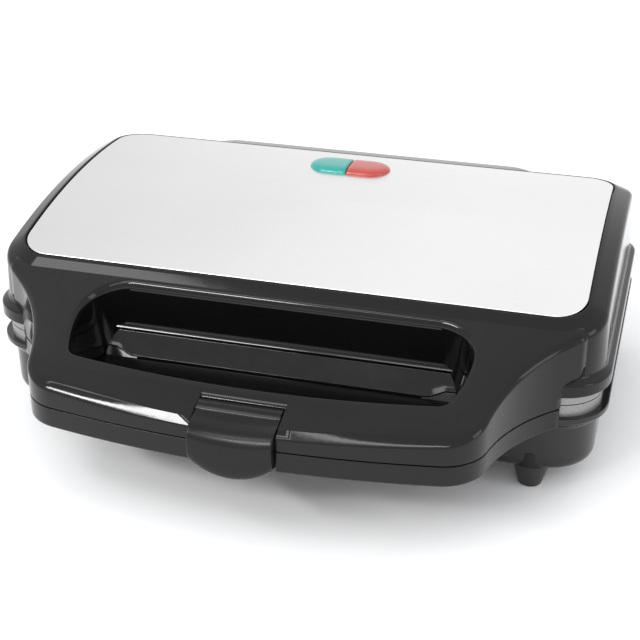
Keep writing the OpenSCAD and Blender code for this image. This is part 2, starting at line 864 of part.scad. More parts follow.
// Base form: belly with a rounded foot and a flat underside, inset by `in`
module base_form(in) {
    y1 = wall_back - 1 - in;
    small = belly_round * 0.3;
    hull() {
        slab(belly_x - in, belly_front - 1 + in, y1, front_r - 1, rear_r,
             base_lip_low, base_lip_low + 0.5, $fn = hull_fn);
        slab(belly_x - in, belly_front + in, y1, front_r - 1, rear_r,
             ground_gap + belly_round, base_lip_low, $fn = hull_fn);
        slab(belly_x - small - in, belly_front + small + in, y1 - small, front_r - 1,
             rear_r, ground_gap + small + in, base_lip_low, $fn = hull_fn);
        slab(belly_x - belly_round - in, belly_front + belly_round + in,
             y1 - belly_round, front_r - 3, rear_r - 2, ground_gap + in, base_lip_low,
             $fn = hull_fn);
    }
}

module base_lip() {
    hull() {
        slab(lip_x, lip_front + 1, axis_y, front_r, rear_r,
             base_lip_low + lip_chamfer, base_lip_high, $fn = hull_fn);
        slab(belly_x, belly_front, wall_back - 1, front_r - 1, rear_r,
             base_lip_low - lip_chamfer, base_lip_low, $fn = hull_fn);
    }
}

// Round bosses that carry the feet through the belly's rounded edge
module foot_bosses() {
    for (p = feet_places) translate([p[0], p[1], ground_gap])
        cylinder(r = foot_r + foot_boss, h = belly_round + 3, $fn = round_fn);
}

module lower_shell() {
    color("#303032") place() difference() {
        union() {
            difference() {
                union() {
                    base_form(0);
                    base_lip();
                    foot_bosses();
                    lower_apron();
                }
                base_form(wall);
                slab(belly_x - wall, belly_front + 3 + wall, plate_back - 1, front_r - wall,
                     rear_r - wall, base_lip_low - 2, far_up, $fn = round_fn);
                hinge_room(knuckle_w + 2 * hinge_gap);
            }
            base_ears();
            base_posts();
        }
        for (p = screw_places) translate([p[0], p[1], 0]) {
            translate([0, 0, ground_gap - 1])
                cylinder(r = clear_r, h = post_low - ground_gap + 2, $fn = round_fn);
            translate([0, 0, ground_gap - 1])
                cylinder(r = screw_head_r + 0.3, h = head_seat_low - ground_gap + 1,
                         $fn = round_fn);
        }
        for (p = feet_places) translate([p[0], p[1], ground_gap - 1])
            cylinder(r = foot_stem_r + 0.05, h = foot_stem_h + 1.2, $fn = round_fn);
        bar_x(hinge_pin_r + 0.02, 2 * (hinge_x + ears_w), axis_y, axis_z);
        translate([0, wall_back - 15, grommet_z]) rotate([-90, 0, 0])
            cylinder(r = grommet_r, h = 20, $fn = round_fn);
    }
}

rib_pitch = 24;
rib_t = 2;

// The base's half of the handle, hollow from below, cut back for the latch
module lower_apron() {
    low = base_top - handle_low;
    difference() {
        translate([0, 0, low]) linear_extrude(height = handle_low)
            polygon(handle_outline(0));
        difference() {
            translate([0, 0, low - 1]) linear_extrude(height = handle_low - wall + 1)
                polygon(handle_outline(wall));
            translate([-slot_x - cheek, bar_front, low - 1])
                cube([2 * (slot_x + cheek), catch_face - bar_front + cheek, handle_low + 1]);
            for (side = [-1, 1]) for (k = [2, 3])
                translate([side * k * rib_pitch - rib_t / 2, bar_front, low])
                    cube([rib_t, -bar_front, handle_low]);
        }
        translate([-slot_x, bar_front - 10, low - 1])
            cube([2 * slot_x, catch_face - bar_front + 10, handle_low + 2]);
        translate([-lip_x, lip_front + 1, base_lip_high])
            cube([2 * lip_x, 60, handle_low]);
        tail_cut(base_lip_high, seam_h + 1);
    }
}

module base_posts() {
    for (p = screw_places) translate([p[0], p[1], ground_gap])
        cylinder(r = post_r + 0.4, h = post_low - post_gap - ground_gap, $fn = round_fn);
}

module hinge_pins() {
    color("#b4b6b8") place() for (side = [-1, 1]) translate([side * hinge_x, 0, 0])
        bar_x(hinge_pin_r, ears_w, axis_y, axis_z);
}

module feet() {
    edge = foot_edge;
    color("#2c2c2e") place() for (p = feet_places) translate([p[0], p[1], 0]) {
        rotate_extrude($fn = round_fn) {
            polygon([[0, 0], [foot_tip_r - edge, 0], [foot_tip_r, edge],
                     [foot_r, ground_gap], [0, ground_gap]]);
            intersection() {
                translate([foot_tip_r - edge, edge]) circle(r = edge, $fn = round_fn);
                square([foot_r, edge]);
            }
        }
        cylinder(r = foot_stem_r, h = ground_gap + foot_stem_h, $fn = round_fn);
    }
}

// Disc thermostat on the back of the lower plate, on the centre plane
thermo_y = panel_d / 2 + 1;
thermo_h = 6.6;
thermo_r = 7;
thermo_flange_r = 8.5;
thermo_flange_t = 2;
tab = [8, 5, 0.8];
tab_x = 9;

module thermostat() {
    color("#cfc9b8") in_base() translate([0, thermo_y, -plate_t]) {
        translate([0, 0, -thermo_flange_t])
            cylinder(r = thermo_flange_r, h = thermo_flange_t, $fn = round_fn);
        translate([0, 0, -thermo_h]) cylinder(r = thermo_r, h = thermo_h, $fn = round_fn);
        for (side = [-1, 1])
            translate([side * tab_x - tab[0] / 2, -tab[1] / 2, tab[2] - thermo_h])
                cube(tab);
    }
}

// Thermal fuse beside it, with a wire at each end
fuse_r = 2.2;
fuse_l = 14;
fuse_wire_r = 0.6;
fuse_wire_l = 26;
fuse_step = 24;

module thermal_fuse() {
    color("#c8b070") in_base() translate([0, thermo_y + fuse_step, -plate_t - fuse_r]) {
        bar_x(fuse_r, fuse_l, 0, 0);
        bar_x(fuse_wire_r, fuse_wire_l, 0, 0);
    }
}

grommet_drop = 10.4;
grommet_z = base_lip_low - grommet_drop;
grommet_r = 5.5;
grommet_bore = 3.4;
grommet_flange = 1.6;
grommet_inner = 1.2;
flange_t = 1.6;
lead_r = 1.1;
lead_gap = 0.3;
lead_in = 5;
lead_down = 3.5;
block_ways = 3;
block_pitch = 8.5;
block_end = 4.5;
block_w = 2 * block_end + (block_ways - 1) * block_pitch;
block_d = 5;
block_h = 11;
block_left = 28;
way_r = 2;
way_z = 6;
lead_y = tray_back + lead_gap + lead_r;
block_y = lead_y + lead_in - block_d / 2;

// The belly's floor is flat up to here, and then rises by this slope
floor_end = wall_back - 1 - wall - belly_round;
floor_slope = 0.3 / 0.7;
block_rise = max(block_y + block_d - floor_end + 0.3, 0.1) * floor_slope;

module terminal_block() {
    rear = block_y + block_d;
    color("#e8e4d8") place() translate([block_left, 0, ground_gap + wall]) difference() {
        rotate([90, 0, 90]) linear_extrude(height = block_w)
            polygon([[block_y, 0], [floor_end - 0.3, 0], [rear, block_rise],
                     [rear, block_h], [block_y, block_h]]);
        for (i = [0 : block_ways - 1])
            translate([block_end + i * block_pitch, block_y - 1, way_z]) rotate([-90, 0, 0])
                cylinder(r = way_r, h = block_d + 2, $fn = round_fn);
    }
}

// Leads that leave the terminal block and turn down beside the reflector
module internal_leads() {
    color("#b8442c") place() for (i = [0 : block_ways - 1])
        translate([block_left + block_end + i * block_pitch, lead_y,
                   ground_gap + wall + way_z]) {
            rotate([-90, 0, 0]) cylinder(r = lead_r, h = lead_in, $fn = round_fn);
            sphere(r = lead_r, $fn = round_fn);
            translate([0, 0, -lead_down])
                cylinder(r = lead_r, h = lead_down, $fn = round_fn);
        }
}

// Bushing in the rear wall where the supply lead enters
module cord_grommet() {
    rear = wall_back - 1;
    color("#242425") place() translate([0, rear, grommet_z]) rotate([-90, 0, 0])
        difference() {
            union() {
                translate([0, 0, -wall - 2]) cylinder(r = grommet_r - 0.05, h = wall + 5,
                                                      $fn = round_fn);
                cylinder(r = grommet_r + grommet_flange, h = flange_t, $fn = round_fn);
                translate([0, 0, -wall - 1.8])
                    cylinder(r = grommet_r + grommet_inner, h = flange_t, $fn = round_fn);
            }
            translate([0, 0, -wall - 3])
                cylinder(r = grommet_bore, h = wall + 8, $fn = round_fn);
        }
}

upper_shell();
steel_panel();
green_lens();
red_lens();
lamp_housing();
neon_lamps();
upper_plate();
upper_heater();
upper_reflector();
lid_screws();
latch();
latch_pin();
lower_shell();
lower_plate();
lower_heater();
lower_reflector();
base_screws();
thermostat();
thermal_fuse();
terminal_block();
internal_leads();
hinge_pins();
feet();
cord_grommet();
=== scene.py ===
"""Studio scene of a closed two-slice clamshell sandwich toaster.

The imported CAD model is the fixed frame. The outer mouldings, the steel panel,
the lenses, the latch and the feet are rebuilt as smooth surfaces with rounded
edges inside the CAD box, and every other CAD node keeps its mesh and gets a
procedural material. Lengths in the dataclasses are millimetres in the design
frame: X to the right, Y back from the panel's front edge and Z up from a datum
plane 2 mm above the table. `to_row` turns them into metres in the shared frame.
"""

import logging
import math
from dataclasses import dataclass, field
from enum import Enum
from typing import Callable, Sequence

import bpy
import numpy as np
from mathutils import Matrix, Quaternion, Vector
from mathutils.geometry import tessellate_polygon


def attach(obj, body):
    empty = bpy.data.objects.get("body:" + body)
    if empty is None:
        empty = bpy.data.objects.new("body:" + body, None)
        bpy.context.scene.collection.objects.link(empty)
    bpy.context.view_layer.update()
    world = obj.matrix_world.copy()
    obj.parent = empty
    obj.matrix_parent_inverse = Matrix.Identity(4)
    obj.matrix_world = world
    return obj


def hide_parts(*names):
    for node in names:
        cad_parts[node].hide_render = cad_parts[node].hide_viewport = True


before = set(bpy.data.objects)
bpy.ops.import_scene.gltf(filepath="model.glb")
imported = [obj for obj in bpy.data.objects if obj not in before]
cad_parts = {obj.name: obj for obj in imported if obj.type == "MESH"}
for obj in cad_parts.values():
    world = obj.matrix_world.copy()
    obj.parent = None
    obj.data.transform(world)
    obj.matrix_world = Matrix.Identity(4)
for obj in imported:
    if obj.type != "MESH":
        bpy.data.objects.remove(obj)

LOG = logging.getLogger("scene")
ORIGIN = np.array([0.0, 39.2, -2.0])
LIP_LOW = 47.0
FOOT_PLACES = [(x, y) for x in (-108.5, 108.5) for y in (0.2, 134.0)]
SCREW_PLACES = [(x, y) for x in (-103.0, 103.0) for y in (12.0, 122.0)]
SCREW_HOLE_R = 3.5
SCREW_HOLE_DEPTH = 5.6
SEAM_FOOT = 42.8
SEAM_RISE = 2.9
SLOPE_RUN = 0.64
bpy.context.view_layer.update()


def to_row(points: np.ndarray) -> np.ndarray:
    """Turns design points in millimetres into row-frame points in metres.

    Args:
        points: Array whose last axis holds X, Y and Z.

    Returns:
        Array of the same shape in metres, measured from the row frame's origin.
    """
    return (np.asarray(points, float) - ORIGIN) * 0.001


# --------------------------------------------------------------------------
# Surfaces in numpy


@dataclass
class Mesh:
    """Points and faces of one surface, in millimetres in the design frame.

    Attributes:
        points: Vertices, one row each.
        faces: Faces as index sequences.
    """

    points: np.ndarray
    faces: list

    def joined(self, *others: "Mesh") -> "Mesh":
        """Joins other surfaces to this one.

        Args:
            others: Surfaces to add.

        Returns:
            One surface with all the points and faces.
        """
        points, faces = [self.points], list(self.faces)
        start = len(self.points)
        for other in others:
            points.append(other.points)
            faces.extend([tuple(int(i) + start for i in f) for f in other.faces])
            start += len(other.points)
        return Mesh(np.concatenate(points), faces)

    def flipped(self) -> "Mesh":
        """Turns the faces round.

        Returns:
            The same points with every face the other way.
        """
        return Mesh(self.points, [tuple(f)[::-1] for f in self.faces])

    def mirrored(self) -> "Mesh":
        """Mirrors the surface in the centre plane and turns its faces round.

        Returns:
            The mirrored surface.
        """
        return Mesh(self.points * [-1.0, 1.0, 1.0], [tuple(f)[::-1] for f in self.faces])


def grid(rings: np.ndarray, closed: bool = True) -> Mesh:
    """Joins rings of equal length into one surface of quads.

    Args:
        rings: Array of R rings of N points.
        closed: Whether each ring closes on itself.

    Returns:
        The surface, whose faces look outwards for rings that run anticlockwise
        and go downwards.
    """
    count, size = rings.shape[:2]
    last = size if closed else size - 1
    r, n = np.meshgrid(np.arange(count - 1), np.arange(last), indexing="ij")
    m = (n + 1) % size
    quads = np.stack([r * size + n, (r + 1) * size + n, (r + 1) * size + m, r * size + m], -1)
    return Mesh(rings.reshape(-1, 3), [tuple(q) for q in quads.reshape(-1, 4).tolist()])


def cap(loops: Sequence[np.ndarray], up: bool) -> Mesh:
    """Fills a flat outline with holes by triangles.

    Args:
        loops: The outer loop and the loops of its holes.
        up: Whether the face looks up.

    Returns:
        The filled surface.
    """
    flat = [[Vector((p[0], p[1], 0.0)) for p in loop] for loop in loops]
    triangles = np.array(tessellate_polygon(flat))
    points = np.concatenate(loops)
    a, b, c = (points[triangles[:, i], :2] for i in range(3))
    turn = (b - a)[:, 0] * (c - a)[:, 1] - (b - a)[:, 1] * (c - a)[:, 0]
    swap = (turn < 0) == up
    triangles[swap] = triangles[swap][:, ::-1]
    return Mesh(points, [tuple(t) for t in triangles.tolist()])


def rounded(rings: np.ndarray, reach: Sequence[float], steps: int = 4) -> np.ndarray:
    """Rounds the profile that runs across rings at chosen rings.

    At ring k the profile leaves the straight line `reach[k]` before the corner
    and meets the next one as far behind it. Between the two it follows the
    quadratic curve (1-t)^2 A + 2t(1-t) B + t^2 C.

    Args:
        rings: Array of R control rings of N points.
        reach: How far each ring's rounding reaches, 0 for a sharp corner.
        steps: Number of spans in each rounding.

    Returns:
        Array of the rings with the roundings put in.
    """
    made = [rings[0]]
    for k in range(1, len(rings) - 1):
        corner = rings[k]
        if reach[k] <= 0:
            made.append(corner)
            continue
        before, after = rings[k - 1] - corner, rings[k + 1] - corner
        lb = np.linalg.norm(before, axis=-1, keepdims=True) + 1e-9
        la = np.linalg.norm(after, axis=-1, keepdims=True) + 1e-9
        a = corner + before / lb * np.minimum(reach[k], 0.48 * lb)
        c = corner + after / la * np.minimum(reach[k], 0.48 * la)
        for t in np.linspace(0.0, 1.0, steps + 1):
            made.append((1 - t) ** 2 * a + 2 * t * (1 - t) * corner + t**2 * c)
    made.append(rings[-1])
    return np.stack(made)


def offset(loop: np.ndarray, distance: float) -> np.ndarray:
    """Moves an anticlockwise loop inwards by mitred corners.

    Args:
        loop: Points of the loop, X and Y.
        distance: How far inwards; negative moves it outwards.

    Returns:
        The moved loop, with as many points.
    """
    ahead = np.roll(loop, -1, axis=0) - loop
    ahead /= np.linalg.norm(ahead, axis=1, keepdims=True) + 1e-12
    normal = np.stack([-ahead[:, 1], ahead[:, 0]], -1)
    before = np.roll(normal, 1, axis=0)
    middle = normal + before
    scale = np.maximum((middle * normal).sum(1, keepdims=True), 0.25)
    return loop + distance * middle / scale


def arc(start: np.ndarray, heading: float, radius: float, turn: float, count: int) -> np.ndarray:
    """Points of an arc that begins at a point with a heading.

    Args:
        start: The first point.
        heading: Direction of travel in degrees.
        radius: Radius of the arc.
        turn: How far the heading turns in degrees, positive to the left.
        count: Number of spans.

    Returns:
        The arc's points, its start among them.
    """
    side = math.copysign(1.0, turn)
    h = np.radians(heading)
    centre = start + side * radius * np.array([-np.sin(h), np.cos(h)])
    a = np.radians(heading + turn * np.linspace(0.0, 1.0, count + 1))
    return centre - side * radius * np.stack([-np.sin(a), np.cos(a)], -1)


@dataclass(frozen=True)
class RoundedBox:
    """Outline of a housing ring: a rectangle with front and rear corner radii.

    Attributes:
        half: Half of its width.
        front: Y of its front side.
        back: Y of its rear side.
        front_r: Radius of the front corners.
        rear_r: Radius of the rear corners.
    """

    half: float
    front: float
    back: float
    front_r: float
    rear_r: float

    def loop(self, across: int = 160, along: int = 30, corner: int = 16) -> np.ndarray:
        """Points of the outline, anticlockwise from the front left corner's end.

        Args:
            across: Spans of the front and rear sides.
            along: Spans of the left and right sides.
            corner: Spans of each corner.

        Returns:
            Array of points, X and Y.
        """
        f, r = self.front_r, self.rear_r
        parts = []
        corners = [
            (self.half - f, self.front + f, f, -90.0),
            (self.half - r, self.back - r, r, 0.0),
            (-self.half + r, self.back - r, r, 90.0),
            (-self.half + f, self.front + f, f, 180.0),
        ]
        spans = [along, across, along, across]
        for k, (cx, cy, radius, begin) in enumerate(corners):
            a = np.radians(begin + np.linspace(0, 90, corner + 1))
            bend = np.stack([cx + radius * np.cos(a), cy + radius * np.sin(a)], -1)
            nx, ny, nr, nb = corners[(k + 1) % 4]
            b = np.radians(nb)
            after = np.array([nx + nr * np.cos(b), ny + nr * np.sin(b)])
            t = np.linspace(0, 1, spans[k] + 1)[1:-1, None]
            parts += [bend, bend[-1] + (after - bend[-1]) * t]
        return np.concatenate(parts)


def level(loop: np.ndarray, z: float) -> np.ndarray:
    """Puts a flat loop at one height.

    Args:
        loop: Points, X and Y.
        z: The height.

    Returns:
        Points with X, Y and Z.
    """
    return np.concatenate([loop, np.full((len(loop), 1), float(z))], 1)


def lifted(loop: np.ndarray, height: Callable[[np.ndarray], np.ndarray]) -> np.ndarray:
    """Puts a flat loop on a surface whose height depends on Y.

    Args:
        loop: Points, X and Y.
        height: Function from Y to Z.

    Returns:
        Points with X, Y and Z.
    """
    return np.concatenate([loop, height(loop[:, 1])[:, None]], 1)


class Axis(Enum):
    """Direction in which a profile is extruded."""

    X = 0
    Y = 1


def prism(profile: np.ndarray, axis: Axis, start: float, end: float, edge: float) -> Mesh:
    """Extrudes a profile and rounds the edges of its two ends.

    Args:
        profile: Anticlockwise loop; Y and Z for Axis.X, X and Z for Axis.Y.
        axis: Direction of the extrusion.
        start: Where it begins.
        end: Where it ends.
        edge: Size of the rounding at both ends.

    Returns:
        The closed surface.
    """
    inner = offset(profile, edge)
    stations = [(inner, start), (profile, start + 0.001), (profile, end - 0.001), (inner, end)]
    places = []
    for loop, s in stations:
        column = np.full((len(loop), 1), s)
        if axis is Axis.X:
            places.append(np.concatenate([column, loop], 1))
        else:
            places.append(np.concatenate([loop[:, :1], column, loop[:, 1:]], 1))
    rings = np.stack(places)
    body = grid(rounded(rings, [0, edge, edge, 0], 3))
    count, size = len(body.points) // len(profile), len(profile)
    ends = [tuple(range(size))[::-1], tuple(range((count - 1) * size, count * size))]
    made = Mesh(body.points, [f[::-1] for f in body.faces] + [e[::-1] for e in ends])
    if axis is Axis.Y:
        made = made.flipped()
    return made


def revolve(profile: np.ndarray, centre: Sequence[float], spans: int = 48) -> Mesh:
    """Turns a profile about a vertical axis.

    Args:
        profile: Radius and Z of each point, from the bottom to the top.
        centre: X and Y of the axis.
        spans: Number of spans round the axis.

    Returns:
        The surface.
    """
    a = np.linspace(0, 2 * np.pi, spans, endpoint=False)
    ring = np.stack([np.cos(a), np.sin(a)], -1)
    points = np.concatenate(
        [
            profile[::-1, None, :1] * ring[None] + np.asarray(centre, float),
            np.repeat(profile[::-1, 1][:, None, None], spans, 1),
        ],
        -1,
    )
    return grid(points)


# --------------------------------------------------------------------------
# Finishes


class Shader:
    """A node material with its shader, and shorthands to add nodes to it."""

    def __init__(self, name: str) -> None:
        """Makes the material and keeps its tree.

        Args:
            name: Name of the material.
        """
        self.material = bpy.data.materials.new(name)
        self.material.use_nodes = True
        self.tree = self.material.node_tree
        self.shader = self.tree.nodes["Principled BSDF"]
        self.place = self.node("ShaderNodeTexCoord").outputs["Object"]

    def node(self, kind: str, **settings: object) -> bpy.types.Node:
        """Adds a node.

        Args:
            kind: Blender's name of the node type.
            settings: Attributes to set on it.

        Returns:
            The new node.
        """
        made = self.tree.nodes.new(kind)
        for key, value in settings.items():
            setattr(made, key, value)
        return made

    def link(self, source: bpy.types.NodeSocket, target: bpy.types.NodeSocket) -> None:
        """Links one socket to another.

        Args:
            source: An output.
            target: An input.
        """
        self.tree.links.new(source, target)

    def set(self, **values: object) -> None:
        """Sets the shader's own sockets.

        Args:
            values: Socket names with underscores for spaces, and their values.
        """
        for key, value in values.items():
            self.shader.inputs[key.replace("_", " ")].default_value = value

    def noise(
        self, scale: float, detail: float = 3.0, stretch: Sequence[float] = (1.0, 1.0, 1.0)
    ) -> bpy.types.NodeSocket:
        """Noise in object space.

        Args:
            scale: Cycles per metre.
            detail: Octaves.
            stretch: Factor on each axis; a small one draws the grain out.

        Returns:
            The noise value's socket.
        """
        mapping = self.node("ShaderNodeMapping")
        mapping.inputs["Scale"].default_value = tuple(stretch)
        noise = self.node("ShaderNodeTexNoise")
        noise.inputs["Scale"].default_value = scale
        noise.inputs["Detail"].default_value = detail
        self.link(self.place, mapping.inputs["Vector"])
        self.link(mapping.outputs["Vector"], noise.inputs["Vector"])
        return noise.outputs["Fac"]

    def between(
        self, value: bpy.types.NodeSocket, low: float, high: float, start: float = 0.3, end: float = 0.7
    ) -> bpy.types.NodeSocket:
        """Maps a value to a range of numbers.

        Args:
            value: The input.
            low: Result at `start`.
            high: Result at `end`.
            start: Lower end of the input.
            end: Upper end of the input.

        Returns:
            The mapped value's socket.
        """
        made = self.node("ShaderNodeMapRange")
        for key, number in {"From Min": start, "From Max": end, "To Min": low, "To Max": high}.items():
            made.inputs[key].default_value = number
        self.link(value, made.inputs["Value"])
        return made.outputs["Result"]

    def blend(
        self, factor: bpy.types.NodeSocket, a: Sequence[float], b: Sequence[float]
    ) -> bpy.types.NodeSocket:
        """Mixes two colours.

        Args:
            factor: 0 for the first and 1 for the second.
            a: The first colour.
            b: The second colour.

        Returns:
            The colour's socket.
        """
        made = self.node("ShaderNodeMix", data_type="RGBA")
        made.inputs["A"].default_value = (*a, 1.0)
        made.inputs["B"].default_value = (*b, 1.0)
        self.link(factor, made.inputs["Factor"])
        return made.outputs["Result"]

    def bump(self, height: bpy.types.NodeSocket, depth: float) -> None:
        """Feeds a height into the shader's normal.

        Args:
            height: Height from 0 to 1.
            depth: What a height of 1 means, in metres.
        """
        made = self.node("ShaderNodeBump")
        made.inputs["Distance"].default_value = depth
        self.link(height, made.inputs["Height"])
        self.link(made.outputs["Normal"], self.shader.inputs["Normal"])


@dataclass(frozen=True)
class Plastic:
    """Moulded plastic with a faint flow of tone and a fine moulded skin.

    Attributes:
        name: Name of the material.
        light: Colour where the moulding is lighter.
        dark: Colour where it is darker.
        rough: Lowest and highest roughness.
        grain: Cycles of the skin per metre.
        depth: Depth of the skin in metres.
        coat: Weight of the clear gloss on top.
        clear: Share of light that passes through.
        shine: Strength of the reflection seen head on, 0.5 for plain plastic.
    """

    name: str
    light: tuple
    dark: tuple
    rough: tuple = (0.3, 0.38)
    grain: float = 900.0
    depth: float = 0.00002
    coat: float = 0.0
    clear: float = 0.0
    shine: float = 0.5

    def build(self) -> bpy.types.Material:
        """Makes the node material.

        Returns:
            The material.
        """
        s = Shader(self.name)
        s.set(Coat_Weight=self.coat, Coat_Roughness=0.06, IOR=1.5, Transmission_Weight=self.clear)
        s.set(Specular_IOR_Level=self.shine)
        s.link(s.blend(s.noise(28.0, 4.0), self.light, self.dark), s.shader.inputs["Base Color"])
        s.link(s.between(s.noise(160.0, 5.0), *self.rough), s.shader.inputs["Roughness"])
        s.bump(s.noise(self.grain, 2.0), self.depth)
        return s.material


@dataclass(frozen=True)
class Metal:
    """Metal with fine lines drawn along one axis.

    Attributes:
        name: Name of the material.
        light: Colour of the bright lines.
        dark: Colour of the dull lines.
        rough: Lowest and highest roughness.
        grain: Lines per metre.
        stretch: Factor on each axis of the grain.
        depth: Depth of the lines in metres.
    """

    name: str
    light: tuple
    dark: tuple
    rough: tuple = (0.25, 0.35)
    grain: float = 1500.0
    stretch: tuple = (1.0, 1.0, 1.0)
    depth: float = 0.00001

    def build(self) -> bpy.types.Material:
        """Makes the node material.

        Returns:
            The material.
        """
        s = Shader(self.name)
        s.set(Metallic=1.0)
        lines = s.noise(self.grain, 3.0, self.stretch)
        s.link(s.blend(lines, self.light, self.dark), s.shader.inputs["Base Color"])
        s.link(s.between(lines, *self.rough), s.shader.inputs["Roughness"])
        s.bump(lines, self.depth)
        return s.material


@dataclass(frozen=True)
class CastPlate:
    """Cast aluminium whose walls are bare and whose faces carry a dark coat.

    Attributes:
        name: Name of the material.
        bare: Colour of the bare casting.
        coat: Colour of the non-stick coat.
    """

    name: str
    bare: tuple = (0.36, 0.36, 0.355)
    coat: tuple = (0.03, 0.03, 0.032)

    def build(self) -> bpy.types.Material:
        """Makes the node material.

        Returns:
            The material.
        """
        s = Shader(self.name)
        normal = s.node("ShaderNodeNewGeometry").outputs["Normal"]
        split = s.node("ShaderNodeSeparateXYZ")
        s.link(normal, split.inputs["Vector"])
        upright = s.node("ShaderNodeMath", operation="ABSOLUTE")
        s.link(split.outputs["Z"], upright.inputs[0])
        faces = s.between(upright.outputs["Value"], 0.0, 1.0, 0.3, 0.6)
        colour = s.node("ShaderNodeMix", data_type="RGBA")
        darker = tuple(0.55 * c for c in self.bare)
        s.link(faces, colour.inputs["Factor"])
        s.link(s.blend(s.noise(1400.0, 4.0), self.bare, darker), colour.inputs["A"])
        flecks = s.blend(s.noise(2600.0, 2.0), self.coat, tuple(2.2 * c for c in self.coat))
        s.link(flecks, colour.inputs["B"])
        s.link(colour.outputs["Result"], s.shader.inputs["Base Color"])
        s.link(s.between(faces, 0.75, 0.12, 0.0, 1.0), s.shader.inputs["Metallic"])
        s.link(s.between(s.noise(900.0), 0.34, 0.5), s.shader.inputs["Roughness"])
        s.bump(s.noise(1600.0, 4.0), 0.00008)
        return s.material


@dataclass(frozen=True)
class Glass:
    """Clear glass with a faint waviness.

    Attributes:
        name: Name of the material.
        tint: Colour of the glass.
    """

    name: str
    tint: tuple = (0.95, 0.8, 0.66)

    def build(self) -> bpy.types.Material:
        """Makes the node material.

        Returns:
            The material.
        """
        s = Shader(self.name)
        s.set(Transmission_Weight=0.9, Roughness=0.05, IOR=1.5)
        pale = tuple(min(1.0, 1.04 * c) for c in self.tint)
        s.link(s.blend(s.noise(120.0), self.tint, pale), s.shader.inputs["Base Color"])
        s.bump(s.noise(300.0), 0.00002)
        return s.material


@dataclass(frozen=True)
class BrushedSheet:
    """Brushed sheet whose lines run along X, with painted shade that darkens it towards its left end and a
    random variation of tone.

    Attributes:
        name: Name of the material.
        light: Colour of the bright lines.
        dark: Colour of the dull lines.
        shade: Painted shade at the left end, as a share of the tone at the right end.
    """

    name: str
    light: tuple = (0.915, 0.915, 0.91)
    dark: tuple = (0.875, 0.875, 0.875)
    shade: tuple = (0.80, 0.80, 0.80)

    def build(self) -> bpy.types.Material:
        """Makes the node material.

        Returns:
            The material.
        """
        s = Shader(self.name)
        s.set(Metallic=1.0, Anisotropic=0.5)
        lines = s.noise(3200.0, 3.0, (0.012, 1.0, 1.0))
        split = s.node("ShaderNodeSeparateXYZ")
        s.link(s.place, split.inputs["Vector"])
        # Painted shade: a ramp on X that is 1 at -0.125 m and below and falls to 0 at 0.05 m, so the sheet
        # is drawn darker towards its left end.
        across = s.between(split.outputs["X"], 1.0, 0.0, -0.125, 0.05)
        across = s.between(across, 0.0, 1.0, 0.0, 1.0)
        # A random variation of tone, plus or minus 0.12, is added to the painted-shade ramp.
        cloud = s.between(s.noise(9.0, 2.0), -0.12, 0.12)
        painted_shade_and_tone = s.node("ShaderNodeMath", operation="ADD", use_clamp=True)
        s.link(across, painted_shade_and_tone.inputs[0])
        s.link(cloud, painted_shade_and_tone.inputs[1])
        # Painted shade: the brushed colour is multiplied by the shade colour as far as the ramp reaches,
        # darkest at the left end.
        tint = s.node("ShaderNodeMix", data_type="RGBA", blend_type="MULTIPLY")
        tint.inputs["B"].default_value = (*self.shade, 1.0)
        s.link(painted_shade_and_tone.outputs["Value"], tint.inputs["Factor"])
        s.link(s.blend(lines, self.light, self.dark), tint.inputs["A"])
        s.link(tint.outputs["Result"], s.shader.inputs["Base Color"])
        s.link(s.between(lines, 0.26, 0.34), s.shader.inputs["Roughness"])
        s.bump(lines, 0.000001)
        return s.material


HOUSING = Plastic(
    "housing gloss", (0.0045, 0.0045, 0.0048), (0.0030, 0.0030, 0.0033), (0.07, 0.11),
    700.0, 0.000004, shine=0.32,
)
BASE_SATIN = Plastic("base gloss", (0.014, 0.014, 0.0145), (0.011, 0.011, 0.0115), (0.12, 0.18), shine=0.4)
LATCH_SATIN = Plastic(
    "latch satin", (0.005, 0.005, 0.0053), (0.0035, 0.0035, 0.0038), (0.24, 0.30),
    1300.0, 0.00001, shine=0.28,
)
FOOT_SATIN = Plastic(
    "foot satin", (0.017, 0.017, 0.0175), (0.012, 0.012, 0.0125), (0.34, 0.42), 1200.0, 0.00001
)
GREEN = Plastic("green lens", (0.02, 0.42, 0.37), (0.01, 0.32, 0.28), (0.14, 0.2), 400.0, 0.00001, 0.4, 0.25)
RED = Plastic("red lens", (0.60, 0.07, 0.055), (0.46, 0.05, 0.04), (0.14, 0.2), 400.0, 0.00001, 0.4, 0.25)
PANEL = BrushedSheet("panel steel")


def material_for(finish: object, built: dict) -> bpy.types.Material:
    """Builds a finish once and gives the same material from then on.

    Args:
        finish: The finish.
        built: Materials already made, by finish name.

    Returns:
        Its material.
    """
    if finish.name not in built:
        built[finish.name] = finish.build()
    return built[finish.name]


@dataclass(frozen=True)
class Dress:
    """The finish of one carried-over CAD node.

    Attributes:
        node: Name of the CAD node.
        finish: Its finish.
        edge: Width of the rounding of its sharp edges in metres, 0 for none.
    """

    node: str
    finish: object
    edge: float = 0.0

    def apply(self, built: dict) -> None:
        """Assigns the material and rounds the edges.

        Args:
            built: Materials already made, by finish name.
        """
        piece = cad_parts[self.node]
        material = material_for(self.finish, built)
        piece.data.materials.clear()
        piece.data.materials.append(material)
        if self.edge > 0:
            bevel = piece.modifiers.new("edges", "BEVEL")
            bevel.width, bevel.segments, bevel.limit_method = self.edge, 2, "ANGLE"
            bevel.angle_limit = math.radians(50)


